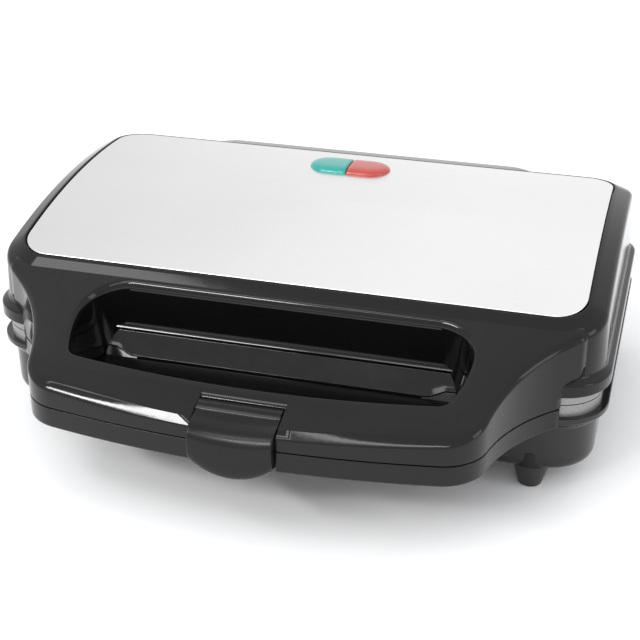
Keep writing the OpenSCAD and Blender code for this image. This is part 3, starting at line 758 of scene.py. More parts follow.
STEEL_TUBE = Metal("heater tube", (0.42, 0.43, 0.44), (0.28, 0.27, 0.26), (0.35, 0.5), 700.0)
SHEET = Metal("reflector sheet", (0.80, 0.81, 0.82), (0.66, 0.67, 0.68), (0.2, 0.34), 900.0, (0.1, 1.0, 1.0))
ZINC = Metal("zinc screws", (0.66, 0.67, 0.68), (0.5, 0.51, 0.52), (0.25, 0.4), 1500.0)
PIN = Metal("ground pins", (0.7, 0.71, 0.72), (0.56, 0.57, 0.58), (0.16, 0.26), 2200.0, (0.05, 1.0, 1.0))
BRASS = Metal("fuse brass", (0.75, 0.60, 0.30), (0.6, 0.46, 0.2), (0.25, 0.38), 1200.0)
PLATE = CastPlate("cast plate")
CARRIER = Plastic("lamp carrier", (0.72, 0.68, 0.58), (0.62, 0.58, 0.48), (0.4, 0.5))
CERAMIC = Plastic("thermostat ceramic", (0.78, 0.75, 0.67), (0.66, 0.62, 0.54), (0.45, 0.6))
TERMINAL = Plastic("terminal plastic", (0.82, 0.80, 0.72), (0.74, 0.71, 0.62), (0.35, 0.5))
SLEEVE = Plastic("lead sleeve", (0.5, 0.09, 0.05), (0.38, 0.05, 0.03), (0.5, 0.6))
RUBBER = Plastic("grommet rubber", (0.024, 0.024, 0.025), (0.016, 0.016, 0.017), (0.5, 0.62))
DRESSES = [
    Dress("lamp_housing", CARRIER, 0.0003),
    Dress("neon_lamps", Glass("lamp glass")),
    Dress("upper_plate", PLATE, 0.0004),
    Dress("lower_plate", PLATE, 0.0004),
    Dress("upper_heater", STEEL_TUBE),
    Dress("lower_heater", STEEL_TUBE),
    Dress("upper_reflector", SHEET, 0.0002),
    Dress("lower_reflector", SHEET, 0.0002),
    Dress("lid_screws", ZINC, 0.0002),
    Dress("base_screws", ZINC, 0.0002),
    Dress("latch_pin", PIN, 0.0002),
    Dress("hinge_pins", PIN, 0.0002),
    Dress("thermostat", CERAMIC, 0.0002),
    Dress("thermal_fuse", BRASS),
    Dress("terminal_block", TERMINAL, 0.0003),
    Dress("internal_leads", SLEEVE),
    Dress("cord_grommet", RUBBER, 0.0003),
]


# --------------------------------------------------------------------------
# Pieces


@dataclass
class Piece:
    """One visual piece: its mesh, and what it rides on and stands for.

    Attributes:
        name: Name of the object.
        mesh: Its surface in millimetres.
        body: CAD body that it moves with.
        slot: Material slot of the record; not used.
        finish: Its finish.
        replaces: CAD nodes that it stands for.
        sharp: Angle in degrees above which an edge stays sharp.
    """

    name: str
    mesh: Mesh
    body: str
    slot: str
    finish: object
    replaces: tuple = ()
    sharp: float = 50.0

    def make(self, built: dict) -> bpy.types.Object:
        """Builds the object and ties it to the frame.

        Args:
            built: Materials already made, by finish name.

        Returns:
            The new object.
        """
        data = bpy.data.meshes.new(self.name)
        data.from_pydata(to_row(self.mesh.points).tolist(), [], self.mesh.faces)
        data.validate()
        data.polygons.foreach_set("use_smooth", np.ones(len(data.polygons), bool))
        data.set_sharp_from_angle(angle=math.radians(self.sharp))
        made = bpy.data.objects.new(self.name, data)
        bpy.context.scene.collection.objects.link(made)
        data.materials.append(material_for(self.finish, built))
        weld = made.modifiers.new("weld", "WELD")
        weld.merge_threshold = 0.000002
        weighted = made.modifiers.new("normals", "WEIGHTED_NORMAL")
        weighted.keep_sharp = True
        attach(made, self.body)
        if self.replaces:
            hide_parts(*self.replaces)
        return made


@dataclass
class Crown:
    """The panel's crown: part of a cylinder along X.

    Attributes:
        radius: Radius of the cylinder.
        y: Y of its axis.
        z: Z of its axis.
    """

    radius: float = 331.019
    y: float = 94.829
    z: float = -239.145

    def height(self, y: np.ndarray, drop: float = 0.0) -> np.ndarray:
        """Height of the crown: z + sqrt((radius - drop)^2 - (y - axis)^2).

        Args:
            y: Where to take it.
            drop: How far under the crown.

        Returns:
            The height.
        """
        return self.z + np.sqrt((self.radius - drop) ** 2 - (y - self.y) ** 2)


CROWN = Crown()


def crown_ring(box: RoundedBox, drop: float) -> np.ndarray:
    """A housing ring that follows the crown.

    Args:
        box: Its outline.
        drop: How far under the crown.

    Returns:
        Points with X, Y and Z.
    """
    return lifted(box.loop(), lambda y: CROWN.height(y, drop))


@dataclass
class SteelPanel:
    """Crowned steel sheet in the lid.

    Attributes:
        half: Half of its width.
        depth: Its depth.
        corner: Radius of its corners.
        edge: Rounding of its cut edge.
    """

    half: float = 125.0
    depth: float = 130.0
    corner: float = 13.0
    edge: float = 0.35

    def pieces(self) -> list:
        """Builds the sheet as rings that shrink towards the middle.

        Returns:
            The panel as one piece.
        """

        def ring(inset: float, drop: float) -> np.ndarray:
            """Ring of the sheet at an inset from its edge and a depth under its face."""
            corner = max(self.corner - inset, 0.0)
            box = RoundedBox(self.half - inset, inset, self.depth - inset, corner, corner)
            return crown_ring(box, drop)

        edge = rounded(np.stack([ring(0.9, 0.0), ring(0.0, 0.0), ring(0.0, 0.8)]), [0, self.edge, 0], 3)
        field = [ring(d, 0.0) for d in (65.0, 60, 50, 40, 30, 22, 16, 12, 9, 6, 4, 2.5, 1.6)]
        sheet = grid(np.concatenate([np.stack(field), edge]))
        return [Piece("panel", sheet, "lid", "panel_steel", PANEL, ("steel_panel",))]


@dataclass
class LidShell:
    """Lid moulding: rim round the panel, drafted walls and lip.

    Attributes:
        gap: Gap round the panel.
        rim: Half width of the rim's outer edge.
        wall: Half width at the wall's foot.
        lip: Half width of the lip.
        lip_high: Top of the lip's outer face.
        lip_low: Underside of the lip.
    """

    gap: float = 0.8
    rim: float = 134.0
    wall: float = 135.0
    lip: float = 137.8
    lip_high: float = 52.5
    lip_low: float = LIP_LOW

    def skin(self) -> Mesh:
        """Lofts the rings from the panel's recess to the lip's underside.

        Returns:
            The skin.
        """
        g = self.gap
        recess = RoundedBox(125 + g, -g, 130 + g, 13 + g, 13 + g)
        seat = RoundedBox(123, 2, 128, 11, 11)
        crest = RoundedBox(126.7, -1.7, 131.7, 14.7, 14.7)
        outer = RoundedBox(self.rim, -8, 138, 19, 16)
        foot = RoundedBox(self.wall, -9, 150, 21, 16)
        lip = RoundedBox(self.lip, -11.8, 152, 22, 16)
        inner = RoundedBox(self.lip - 3.1, -8.7, 146, 19, 16)

        def beaded(loop: np.ndarray, short: float) -> np.ndarray:
            """Draws the lip in behind the bead and the apron."""
            made, x = loop.copy(), np.abs(loop[:, 0])
            gone = np.clip((108.0 - short - x) / 6.0, 0, 1)
            made[:, 1] += np.where(made[:, 1] < 0, 2.7 * gone, 0.0)
            return made

        rings = np.stack(
            [
                crown_ring(seat, 2.4),
                crown_ring(recess, 2.4),
                crown_ring(recess, 0.05),
                crown_ring(crest, 0.1),
                crown_ring(outer, 4.0),
                level(foot.loop(), self.lip_high + 1.5),
                level(beaded(lip.loop(), 0.0), self.lip_high),
                level(beaded(lip.loop(), 0.0), self.lip_low),
                level(inner.loop(), self.lip_low),
                level(inner.loop(), self.lip_low + 6),
            ]
        )
        return grid(rounded(rings, [0, 0, 0.3, 0.8, 2.2, 1.2, 0.9, 0.6, 0, 0], 5))

    def pieces(self) -> list:
        """Builds the lid's skin and hinge cover.

        Returns:
            The pieces.
        """
        a = np.linspace(0.0, np.pi / 2, 13)
        side = np.stack([72.0 + 17.0 * np.cos(a), 77.0 + 9.6 * np.sin(a)], -1)
        right = np.concatenate([[[89.0, 47.0]], side])
        cover = np.concatenate([right, right[::-1] * [-1, 1]])
        shroud = prism(cover, Axis.Y, 131.4, 152.0, 1.6)
        share = np.clip((shroud.points[:, 2] - 47.0) / 39.0, 0, 1)
        shroud.points[:, 2] += share * (1.6 - 0.21 * (shroud.points[:, 1] - 131.4))
        made = [Piece("lid_skin", self.skin(), "lid", "housing", HOUSING, ("upper_shell",))]
        made.append(Piece("lid_hinge_cover", shroud, "lid", "housing", HOUSING))
        return made


@dataclass
class HandleOutline:
    """Plan of the handle: bowed front, corners, flares, tails and latch slot.

    Attributes:
        front: Y of the bar's front.
        slot: Half width of the latch slot.
        tail: Length of the straight run from the flare's end to the housing.
    """

    front: float = -75.0
    slot: float = 17.7
    tail: float = 11.0

    def half(self) -> np.ndarray:
        """Right half of the outline, from the middle of the front to the tail's end.

        Returns:
            Points, X and Y.
        """
        bow = arc(np.array([0.0, self.front]), 0.0, 445.0, 10.4, 24)
        corner = arc(bow[-1], 10.4, 20.0, 68.0, 18)
        flare = arc(corner[-1], 78.4, 75.0, -36.0, 20)
        heading = math.radians(42.4)
        steps = np.linspace(0, self.tail, 5)[1:, None]
        run = flare[-1] + steps * np.array([math.cos(heading), math.sin(heading)])
        return np.concatenate([bow, corner[1:], flare[1:], run])

    def flare_end(self) -> float:
        """X of the flare's end, where the parts beside the plates stop.

        Returns:
            The distance from the centre plane.
        """
        return float(self.half()[-5, 0])

    def loop(self, end: float, slot_back: float, long: bool = True) -> np.ndarray:
        """Closed outline with the slot cut into its front.

        Args:
            end: Y of the rear side.
            slot_back: Y of the slot's rear side.
            long: Whether the tails are part of it.

        Returns:
            Anticlockwise loop, X and Y.
        """
        half = self.half()
        if half[-1, 1] < end:
            half = np.concatenate([half, [[half[-1, 0], end]]])
        keep = half[(half[:, 0] > self.slot + 3.0) & (half[:, 1] < end)]
        x_end = np.interp(end, half[:, 1], half[:, 0])
        y_slot = np.interp(self.slot, half[:, 0], half[:, 1])
        right = np.concatenate([[[self.slot, slot_back], [self.slot, y_slot]], keep, [[x_end, end]]])
        if not long:
            right[:, 0] = np.minimum(right[:, 0], self.flare_end())
        return np.concatenate([right, right[::-1] * [-1, 1]])


@dataclass
class UpperHandle:
    """The lid's half of the handle, with the grip opening.

    Attributes:
        outline: Its plan.
        low: Its underside.
        bevel: Width of the bevel round its top.
        wall: Its wall.
        taper: Width of the opening's foot as a share of its top.
    """

    outline: HandleOutline = field(default_factory=HandleOutline)
    low: float = 42.2
    bevel: float = 2.4
    wall: float = 2.6
    taper: float = 0.94

    @staticmethod
    def top(y: np.ndarray, drop: float = 0.0) -> np.ndarray:
        """Height of the sloping top: 73 + 23/67 (y + 8), less the drop.

        Args:
            y: Where to take it.
            drop: How far under the top.

        Returns:
            The height.
        """
        return 73.0 + 23.0 / 67.0 * (y + 8.0) - drop

    def grip(self) -> np.ndarray:
        """Plan of the grip opening.

        Returns:
            Anticlockwise loop, X and Y.
        """
        bow = arc(np.array([0.0, -54.0]), 0.0, 600.0, 7.2, 20)
        corner = arc(bow[-1], 7.2, 6.0, 60.8, 14)
        side = arc(corner[-1], 68.0, 55.0, 22.0, 14)
        back = arc(side[-1], 90.0, 17.0, 90.0, 20)
        right = np.concatenate([bow, corner[1:], side[1:], back[1:]])
        return np.concatenate([right, right[1:][::-1] * [-1, 1]])

    def pieces(self) -> list:
        """Builds the handle's shell and the shelf at the foot of the opening.

        Returns:
            The pieces.
        """
        plan = self.outline.loop(2.0, -59.9)
        short = self.outline.loop(2.0, -59.9, False)
        hole = self.grip()
        b, w, low = self.bevel, self.wall, self.low
        outer = np.stack(
            [
                lifted(offset(plan, b), self.top),
                lifted(plan, lambda y: self.top(y, 2.6)),
                level(plan, LIP_LOW + 0.2),
                level(short, LIP_LOW),
                level(short, low),
                level(offset(short, w), low),
                lifted(offset(short, w), lambda y: self.top(y, w)),
            ]
        )
        slot = np.array([plan[0], plan[1]]) + [[0.4, b], [0.4, b]]
        outer[0, [0, 1], :2] = slot
        outer[0, [-1, -2], :2] = slot * [-1, 1]
        outer[0, :, 2] = self.top(outer[0, :, 1])
        outer = rounded(outer, [0, 0.7, 0, 0, 0.5, 0.4, 0], 3)
        foot = hole * [self.taper, 1.0]
        inner = np.stack(
            [
                lifted(offset(hole, -2.4), self.top),
                lifted(offset(hole, -1.3), self.top),
                lifted(hole, lambda y: self.top(y, 1.8)),
                level(foot, low),
                level(offset(foot, -w), low),
                lifted(offset(hole, -w), lambda y: self.top(y, w)),
            ]
        )
        inner = rounded(inner, [0, 0.9, 1.4, 0.5, 0.4, 0], 4)
        walls = grid(outer)
        well = grid(inner).flipped()
        roof = cap([outer[0], inner[0]], True)
        ceiling = cap([outer[-1], inner[-1]], False)
        shell = walls.joined(well, roof, ceiling)
        return [
            Piece("lid_handle", shell, "lid", "housing", HOUSING),
            Piece("grip_shelf", self.shelf(), "lid", "housing", HOUSING),
        ]

    def shelf(self) -> Mesh:
        """Bead on the back wall and the slope under it, down to the seam.

        Each row is half a width, Y and Z. The seam rises into the slope near
        both ends of the opening.

        Returns:
            The surface.
        """
        rows = [
            (70.7, -8.6, 54.6),
            (70.7, -9.5, 54.5),
            (71.8, -9.91, 53.88),
            (75.0, -11.1, 53.3),
            (76.0, -11.51, 52.68),
            (83.0, -10.9, 51.25),
            (83.0, -14.2, 47.02),
            (83.0, -17.5, SEAM_FOOT),
            (83.0, -17.5, 42.2),
            (83.0, -15.5, 42.2),
        ]
        share = np.linspace(-1.0, 1.0, 333)
        flat = np.ones_like(share)
        rings = np.stack([np.stack([share * x, flat * y, flat * z], -1) for x, y, z in rows])
        rise = SEAM_RISE * seam_hump(rings[-1, :, 0])
        rings[-3:, :, 2] += rise
        rings[-3:, :, 1] += rise * SLOPE_RUN
        rings[:5, [0, -1], 1] = -8.6
        return grid(rounded(rings, [0, 0.1, 0.1, 0.1, 0.1, 0.3, 4.0, 0.25, 0, 0], 4), closed=False)


def seam_hump(x: np.ndarray) -> np.ndarray:
    """Rise of the seam near the ends of the opening, 1 at its top.

    Args:
        x: Distance from the centre plane, either side.

    Returns:
        The rise as a share.
    """
    marks = [62.4, 66.4, 69.6, 72.7, 76.4, 80.7, 81.9, 82.5]
    return np.interp(np.abs(x), marks, [0.0, 0.11, 0.52, 0.95, 1.0, 0.74, 0.47, 0.0])


@dataclass
class BaseShell:
    """Base moulding: lip, belly with a rounded foot, and underside.

    Attributes:
        lip: Half width of the lip.
        belly: Half width of the belly.
        high: Top of the lip.
        ground: Height of the underside.
        curve: Reach of the rounding under the belly.
    """

    lip: float = 137.8
    belly: float = 133.8
    high: float = 36.5
    ground: float = 10.0
    curve: float = 5.0

    def skin(self) -> Mesh:
        """Lofts the rings from inside the lip to the underside.

        Returns:
            The skin with its filled underside.
        """
        inner = RoundedBox(self.lip - 5, -5.8, 146, 17, 14)
        lip = RoundedBox(self.lip, -10.8, 152, 22, 16)
        belly = RoundedBox(self.belly, -8.8, 149, 21, 16)
        foot = RoundedBox(self.belly - 0.3, -8.4, 148.7, 21, 16)
        under = RoundedBox(self.belly - 5, -3.8, 144, 19, 14)
        rings = np.stack(
            [
                level(inner.loop(), self.high - 5),
                level(inner.loop(), self.high),
                level(lip.loop(), self.high),
                level(lip.loop(), self.high - 2.6),
                level(belly.loop(), self.high - 5.6),
                level(foot.loop(), self.ground + 0.01),
                level(under.loop(), self.ground),
            ]
        )
        made = rounded(rings, [0, 0, 0.5, 0.8, 1.6, self.curve, 0], 6)
        holes = [self.ring_hole(x, y) for x, y in SCREW_PLACES]
        floor = cap([made[-1], *holes], False)
        tubes = [self.counterbore(h) for h in holes]
        return grid(made).joined(floor, *tubes)

    def ring_hole(self, x: float, y: float) -> np.ndarray:
        """Rim of a screw hole in the underside.

        Args:
            x: X of its middle.
            y: Y of its middle.

        Returns:
            Its points.
        """
        a = np.linspace(0, 2 * np.pi, 32, endpoint=False)
        ring = np.stack([x + SCREW_HOLE_R * np.cos(a), y + SCREW_HOLE_R * np.sin(a)], -1)
        return level(ring, self.ground)

    @staticmethod
    def counterbore(rim: np.ndarray) -> Mesh:
        """Wall of a screw's counterbore.

        Args:
            rim: Its rim in the underside.

        Returns:
            The surface.
        """
        return grid(np.stack([rim + [0, 0, SCREW_HOLE_DEPTH], rim]))

    def pieces(self) -> list:
        """Builds the base's skin and the bosses above its feet.

        Returns:
            The pieces.
        """
        made = [Piece("base_skin", self.skin(), "base", "housing", BASE_SATIN, ("lower_shell",))]
        boss = np.array([[9.0, 10.02], [9.0, 17.0]])
        bosses = [revolve(boss, place) for place in FOOT_PLACES]
        made.append(Piece("foot_bosses", bosses[0].joined(*bosses[1:]), "base", "housing", HOUSING))
        return made


@dataclass
class Hinge:
    """Knuckles of the lid and ears of the base about the hinge axis.

    Attributes:
        y: Y of the axis.
        z: Z of the axis.
        radius: Radius of knuckles and ears.
        x: Distance of each hinge from the centre plane.
        knuckle: Length of a knuckle.
        ear: Thickness of an ear.
        gap: Gap beside the knuckle.
    """

    y: float = 152.0
    z: float = 42.0
    radius: float = 6.0
    x: float = 60.0
    knuckle: float = 11.4
    ear: float = 6.0
    gap: float = 0.3

    def profile(self, rise: float) -> np.ndarray:
        """Round end with a straight stem.

        Args:
            rise: How far the stem goes, up if positive, else down.

        Returns:
            Anticlockwise loop, Y and Z.
        """
        a = np.radians(np.linspace(0, 180, 25))
        cap_points = np.stack([self.y + self.radius * np.cos(a), self.z + self.radius * np.sin(a)], -1)
        if rise < 0:
            stem = np.array([[self.y - self.radius, self.z + rise], [self.y + self.radius, self.z + rise]])
            return np.concatenate([cap_points, stem])
        below = np.stack([self.y - self.radius * np.cos(a), self.z - self.radius * np.sin(a)], -1)
        side = np.radians(np.linspace(0, 90, 13))
        lobe = np.stack([self.y + self.radius * np.cos(side), self.z + self.radius * np.sin(side)], -1)
        stem = np.array([[self.y, self.z + rise], [self.y - self.radius, self.z + rise]])
        return np.concatenate([lobe, stem, below[:-1]])

    def pieces(self) -> list:
        """Builds the knuckles and the ears.

        Returns:
            The pieces.
        """
        knuckles, ears = [], []
        for side in (-1, 1):
            middle = side * self.x
            half = self.knuckle / 2
            knuckles.append(prism(self.profile(10.5), Axis.X, middle - half, middle + half, 0.5))
            for end in (-1, 1):
                c = middle + end * (half + self.gap + self.ear / 2)
                ears.append(prism(self.profile(-18.0), Axis.X, c - self.ear / 2, c + self.ear / 2, 0.5))
        return [
            Piece("lid_knuckles", knuckles[0].joined(*knuckles[1:]), "lid", "housing", HOUSING),
            Piece("hinge_ears", ears[0].joined(*ears[1:]), "base", "housing", HOUSING),
        ]


@dataclass
class LowerHandle:
    """The base's half of the handle, hollow and ribbed underneath.

    Attributes:
        outline: Its plan.
        high: Its top.
        low: Its underside.
        wall: Its wall.
    """

    outline: HandleOutline = field(default_factory=HandleOutline)
    high: float = 41.8
    low: float = 32.8
    wall: float = 2.6

    def rib(self, front: float) -> np.ndarray:
        """Profile of a rib between the bar's front and the housing.

        Args:
            front: Y of its front end.

        Returns:
            Anticlockwise loop, Y and Z.
        """
        low, back, high = self.low + 0.6, -11.5, 40
        return np.array([[front, low], [back, low], [back, high], [front, high]])

    @staticmethod
    def seam_tab() -> Mesh:
        """Strip behind the seam's right rise, on the plane y = -17.05 + run (z - foot).

        Returns:
            The surface.
        """
        x = np.linspace(63.0, 82.6, 40)
        flat = np.ones_like(x)
        rows = [[x, flat * (-17.05 + SLOPE_RUN * (z - SEAM_FOOT)), flat * z] for z in (46.0, 44.0, 41.5)]
        return grid(np.stack([np.stack(row, -1) for row in rows]), closed=False)

    def pieces(self) -> list:
        """Builds the shell and its ribs.

        Returns:
            The pieces.
        """
        plan = self.outline.loop(-10.8, -72.0, False)
        w = self.wall
        rings = np.stack(
            [
                level(offset(plan, 1.0), self.high),
                level(plan, self.high),
                level(plan, self.low),
                level(offset(plan, w), self.low),
                level(offset(plan, w), self.high - w),
            ]
        )
        rings = rounded(rings, [0, 0.4, 1.0, 0.4, 0], 4)
        shell = grid(rings).joined(cap([rings[0]], True), cap([rings[-1]], False))
        ribs = [
            prism(self.rib(y), Axis.X, x - 1, x + 1, 0.3)
            for x, y in ((-72.0, -66.0), (-48.0, -71.0), (48.0, -71.0), (72.0, -66.0))
        ]
        tab = self.seam_tab()
        shell = shell.joined(tab, tab.mirrored())
        return [
            Piece("base_handle", shell, "base", "housing", HOUSING),
            Piece("handle_ribs", ribs[0].joined(*ribs[1:]), "base", "housing", HOUSING),
        ]


@dataclass
class Latch:
    """Rocking latch: hollow top band, bulge, flat face and curled tongue.

    Attributes:
        half: Half of its width.
        tongue: Height where the tongue's arc begins.
        low: Lowest point of the tongue.
        edge: Rounding of its side edges.
        rows: Points down the profile.
        cols: Points across the face.
    """

    half: float = 17.4
    tongue: float = 35.1
    low: float = 28.3
    edge: float = 0.8
    rows: int = 73
    cols: int = 61

    def profile(self) -> np.ndarray:
        """Outer line of the side profile, from the top's rear edge to the hook.

        A Catmull-Rom curve runs through the control points.

        Returns:
            Points, Y and Z.
        """
        control = np.array(
            [
                [-62.6, 54.0],
                [-65.2, 52.9],
                [-67.6, 51.2],
                [-70.0, 50.0],
                [-72.6, 49.4],
                [-75.2, 48.6],
                [-77.5, 46.8],
                [-79.0, 44.0],
                [-79.5, 40.6],
                [-79.55, 37.0],
                [-79.5, 33.6],
                [-79.1, 30.8],
                [-78.2, 29.0],
                [-76.6, 28.3],
            ]
        )
        t = np.linspace(0, len(control) - 1, self.rows)
        k = np.clip(t.astype(int), 0, len(control) - 2)
        u = (t - k)[:, None]
        padded = np.concatenate([[2 * control[0] - control[1]], control, [2 * control[-1] - control[-2]]])
        p0, p1, p2, p3 = (padded[k + i] for i in range(4))
        second, third = 2 * p0 - 5 * p1 + 4 * p2 - p3, 3 * p1 - p0 - 3 * p2 + p3
        return 0.5 * (2 * p1 + (p2 - p0) * u + second * u**2 + third * u**3)

    def face(self) -> Mesh:
        """Front skin, drawn in at its sides and cut to the tongue's arc.

        Each column keeps the profile down to the arc
        low + r - sqrt(r^2 - x^2) and then turns in under it.

        Returns:
            The surface.
        """
        line = self.profile()
        depth = self.tongue - self.low
        r = (self.half**2 + depth**2) / (2 * depth)
        x = self.half * np.sin(np.linspace(-np.pi / 2, np.pi / 2, self.cols))
        arc_z = self.low + r - np.sqrt(r * r - x * x)
        span = line[0, 1] - line[:, 1]
        share = span / span.max()
        z = line[0, 1] - share[:, None] * (line[0, 1] - arc_z)[None, :]
        rim = self.half - np.abs(x)
        pull = self.edge * (1 - np.sqrt(np.clip(1 - (1 - np.clip(rim / self.edge, 0, 1)) ** 2, 0, 1)))
        y = line[:, 0][:, None] + pull[None, :] * np.where(line[:, 0] < -66, 1.0, 0.3)[:, None]
        low_share = np.clip((arc_z - self.low) / depth, 0, 1)
        y = np.maximum(y, -79.6)
        points = np.stack([np.broadcast_to(x, z.shape), y + low_share * share[:, None] ** 3 * 0.6, z], -1)
        return grid(points, closed=False)

    def pieces(self) -> list:
        """Builds the skin, its sides and the barrel.

        Returns:
            The pieces.
        """
        skin = self.face()
        net = skin.points.reshape(self.rows, self.cols, 3)
        sides = []
        for k, flip in ((0, False), (self.cols - 1, True)):
            edge = net[:, k]
            back = edge.copy()
            back[:, 1] = np.clip(edge[:, 1] + 4.0, None, -63.0)
            strip = grid(np.stack([edge, back]), closed=False)
            sides.append(strip.flipped() if flip else strip)
        inner = net.copy()
        inner[..., 1] = np.clip(net[..., 1] + 4.0, None, -63.0)
        rear = grid(inner, closed=False).flipped()
        a = np.linspace(0, 2 * np.pi, 40, endpoint=False)
        barrel = np.stack([-64 + 3.8 * np.cos(a), 49.976 + 3.8 * np.sin(a)], -1)
        pin = prism(barrel, Axis.X, -self.half, self.half, 0.3)
        tip = np.stack([net[-1], inner[-1]])
        foot = grid(tip, closed=False)
        made = skin.joined(*sides, rear, foot, pin)
        return [Piece("latch_body", made, "latch", "latch_plastic", LATCH_SATIN, ("latch",), 40.0)]


class Lamp(Enum):
    """Side of the two-colour lens."""

    GREEN = -1
    RED = 1


@dataclass
class LensHalf:
    """Half of the capsule-shaped lens, domed over the panel.

    Attributes:
        lamp: Which half.
        length: Length of the whole capsule.
        width: Its width.
        y: Y of its middle.
        rise: Height of the dome over the panel.
    """

    lamp: Lamp
    length: float = 39.6
    width: float = 20.0
    y: float = 107.0
    rise: float = 2.4

    def piece(self) -> Piece:
        """Builds the half: width sqrt(r^2 - (x-a)^2) past the straight part.

        Returns:
            The piece.
        """
        r = self.width / 2
        straight = self.length / 2 - r
        end = straight + r * np.sin(np.linspace(0, np.pi / 2, 18)[1:])
        x = np.concatenate([np.linspace(0.06, straight, 12), end])
        half = np.where(x > straight, np.sqrt(np.clip(r * r - (x - straight) ** 2, 0, None)), r)
        t = np.sin(np.linspace(-np.pi / 2, np.pi / 2, 41))
        xs, ts = np.meshgrid(x, t, indexing="ij")
        across = half[:, None] * ts
        reach = np.sqrt(np.clip(xs - straight, 0, None) ** 2 + across**2) / r
        dome = (1 - np.clip(reach, 0, 1) ** 6) ** 0.5
        fall = 1.0 - np.exp(-(((xs - 0.06) / 0.35) ** 2)) * 0.25
        y = self.y + across
        swell = (self.rise + 0.6) * np.clip(dome, 0, 1) ** 0.9 * fall * (1 - 0.06 * reach**2)
        z = CROWN.height(y) - 0.6 + swell
        net = np.stack([xs, y, z], -1)
        top = grid(net, closed=False)
        split = net[0].copy()
        split[:, 2] -= 3.0
        side = grid(np.stack([net[0], split]), closed=False)
        mesh = top.joined(side.flipped())
        if self.lamp is Lamp.GREEN:
            mesh = mesh.mirrored()
        node, finish = ("green_lens", GREEN) if self.lamp is Lamp.GREEN else ("red_lens", RED)
        return Piece(node + "_dome", mesh, "lid", node, finish, (node,))


@dataclass
class Feet:
    """Four tapered feet with rounded tips.

    Attributes:
        top: Radius where they meet the base.
        tip: Radius at the table.
        low: Z of the table.
        high: Z of the base's underside.
    """

    top: float = 8.5
    tip: float = 5.2
    low: float = -2.0
    high: float = 10.0

    def pieces(self) -> list:
        """Revolves the four feet.

        Returns:
            One piece.
        """
        a = np.linspace(0, np.pi / 2, 7)
        tip = np.stack([self.tip - 1.2 + 1.2 * np.sin(a), self.low + 1.2 - 1.2 * np.cos(a)], -1)
        root = [[self.top - 0.2, self.high - 0.6], [self.top - 0.4, self.high]]
        profile = np.concatenate([[[0.01, self.low]], tip, root])
        feet = [revolve(profile, place) for place in FOOT_PLACES]
        made = feet[0].joined(*feet[1:])
        return [Piece("feet_tapered", made, "base", "foot_plastic", FOOT_SATIN, ("feet",))]


# --------------------------------------------------------------------------
# Studio


@dataclass
class Softbox:
    """One area light.

    Attributes:
        name: Name of the light.
        at: Its place in metres.
        aim: The point that it faces.
        size: Width and height in metres.
        power: Watts.
    """

    name: str
    at: tuple
    aim: tuple
    size: tuple
    power: float

    def make(self) -> None:
        """Adds the light to the scene."""
        data = bpy.data.lights.new(self.name, "AREA")
        data.shape = "RECTANGLE"
        data.size, data.size_y = self.size
        data.energy = self.power
        light = bpy.data.objects.new(self.name, data)
        light.location = self.at
        light.rotation_mode = "QUATERNION"
        light.rotation_quaternion = (Vector(self.aim) - Vector(self.at)).to_track_quat("-Z", "Y")
        bpy.context.scene.collection.objects.link(light)


@dataclass
class Camera:
    """The photograph's camera.

    Attributes:
        at: Its place in metres in the shared frame.
        azimuth: Degrees round the object.
        elevation: Degrees above the horizon.
        roll: Degrees about the view axis.
        pixels: Focal length in pixels of the 640 pixel frame.
    """

    at: tuple = (0.15517, -0.54725, 0.32932)
    azimuth: float = 15.461
    elevation: float = 26.661
    roll: float = 0.258
    pixels: float = 1386.1

    def make(self) -> None:
        """Adds the camera and makes it the scene's."""
        data = bpy.data.cameras.new("camera")
        data.sensor_width = 36.0
        data.lens = 36.0 * self.pixels / 640.0
        data.clip_start = 0.01
        a, e = math.radians(self.azimuth), math.radians(self.elevation)
        back = Vector((math.sin(a) * math.cos(e), -math.cos(a) * math.cos(e), math.sin(e)))
        camera = bpy.data.objects.new("camera", data)
        camera.location = self.at
        camera.rotation_mode = "QUATERNION"
        turn = Quaternion((0.0, 0.0, 1.0), math.radians(self.roll))
        camera.rotation_quaternion = (-back).to_track_quat("-Z", "Y") @ turn
        bpy.context.scene.collection.objects.link(camera)
        bpy.context.scene.camera = camera


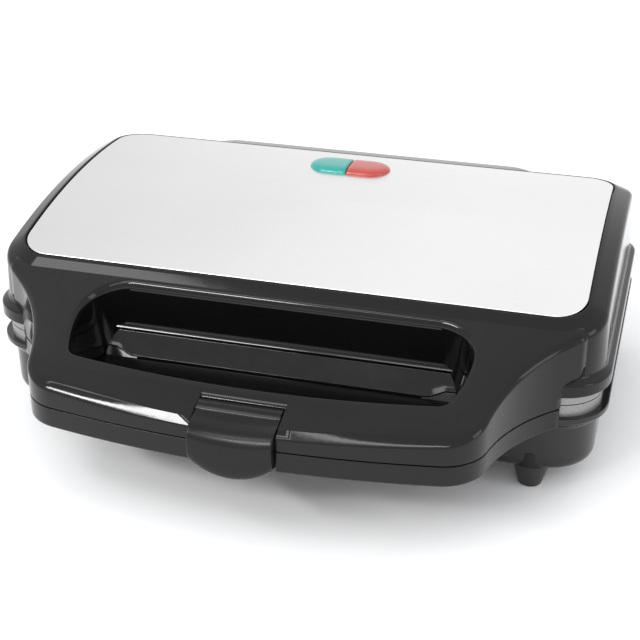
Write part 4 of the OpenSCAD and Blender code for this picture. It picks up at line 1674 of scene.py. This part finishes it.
@dataclass
class Studio:
    """Floor, white surroundings and soft lights.

    Attributes:
        floor_half: Half of the floor's width in metres.
        floor_tone: The floor's grey.
        ambient: Strength of the even light.
    """

    floor_half: float = 4.0
    floor_tone: float = 0.96
    ambient: float = 1.12

    def floor(self) -> None:
        """Makes a wide pale floor at the table's height."""
        h = self.floor_half
        data = bpy.data.meshes.new("floor")
        data.from_pydata([(-h, -h, 0), (h, -h, 0), (h, h, 0), (-h, h, 0)], [], [(0, 1, 2, 3)])
        made = bpy.data.objects.new("floor", data)
        bpy.context.scene.collection.objects.link(made)
        s = Shader("floor paper")
        t = self.floor_tone
        paper = s.blend(s.noise(3.0), (t, t, t), (t * 0.99, t * 0.99, t * 0.985))
        s.link(paper, s.shader.inputs["Base Color"])
        s.set(Roughness=0.7, Specular_IOR_Level=0.2)
        data.materials.append(s.material)

    def world(self) -> None:
        """Lights the scene evenly and shows white to camera, mirrors and glass."""
        world = bpy.data.worlds.new("studio")
        world.use_nodes = True
        tree = world.node_tree
        out = tree.nodes["World Output"]
        soft = tree.nodes["Background"]
        soft.inputs["Color"].default_value = (0.97, 0.98, 1.0, 1.0)
        soft.inputs["Strength"].default_value = self.ambient
        white = tree.nodes.new("ShaderNodeBackground")
        white.inputs["Color"].default_value = (1.0, 1.0, 1.0, 1.0)
        white.inputs["Strength"].default_value = 1.0
        path = tree.nodes.new("ShaderNodeLightPath")
        seen = path.outputs["Is Camera Ray"]
        for name in ("Is Glossy Ray", "Is Transmission Ray"):
            either = tree.nodes.new("ShaderNodeMath")
            either.operation = "MAXIMUM"
            tree.links.new(seen, either.inputs[0])
            tree.links.new(path.outputs[name], either.inputs[1])
            seen = either.outputs["Value"]
        mix = tree.nodes.new("ShaderNodeMixShader")
        tree.links.new(seen, mix.inputs[0])
        tree.links.new(soft.outputs["Background"], mix.inputs[1])
        tree.links.new(white.outputs["Background"], mix.inputs[2])
        tree.links.new(mix.outputs["Shader"], out.inputs["Surface"])
        bpy.context.scene.world = world

    def build(self) -> None:
        """Makes the whole studio."""
        bpy.context.scene.view_settings.view_transform = "Standard"
        self.floor()
        self.world()
        for box in (
            Softbox("front strip", (-0.72, -1.10, 0.90), (0.0, -0.07, 0.05), (0.80, 0.10), 10.0),
            Softbox("right strip", (0.10, -1.10, 0.90), (0.0, -0.07, 0.05), (0.80, 0.08), 1.6),
            Softbox("rim box", (-0.55, -0.72, 1.25), (0.0, -0.05, 0.05), (0.90, 0.24), 3.4),
            Softbox("right", (1.3, -0.3, 0.7), (0.0, 0.0, 0.05), (0.4, 0.8), 2.0),
        ):
            box.make()


class Toaster:
    """The whole toaster, sub-assembly by sub-assembly."""

    def __init__(self) -> None:
        """Collects the sub-assemblies."""
        self.parts = [SteelPanel(), LidShell(), UpperHandle(), BaseShell()]
        self.parts += [LowerHandle(), Hinge(), Latch(), Feet()]
        self.lenses = [LensHalf(Lamp.GREEN), LensHalf(Lamp.RED)]

    def build(self) -> None:
        """Makes every piece and dresses the carried-over nodes."""
        built: dict = {}
        pieces = [p for part in self.parts for p in part.pieces()] + [lens.piece() for lens in self.lenses]
        for piece in pieces:
            piece.make(built)
            LOG.info("%s: %d faces", piece.name, len(piece.mesh.faces))
        for dress in DRESSES:
            dress.apply(built)


def main() -> None:
    """Builds the toaster, the camera and the studio."""
    logging.basicConfig(level=logging.INFO)
    Camera().make()
    Toaster().build()
    Studio().build()


if __name__ == "__main__":
    main()
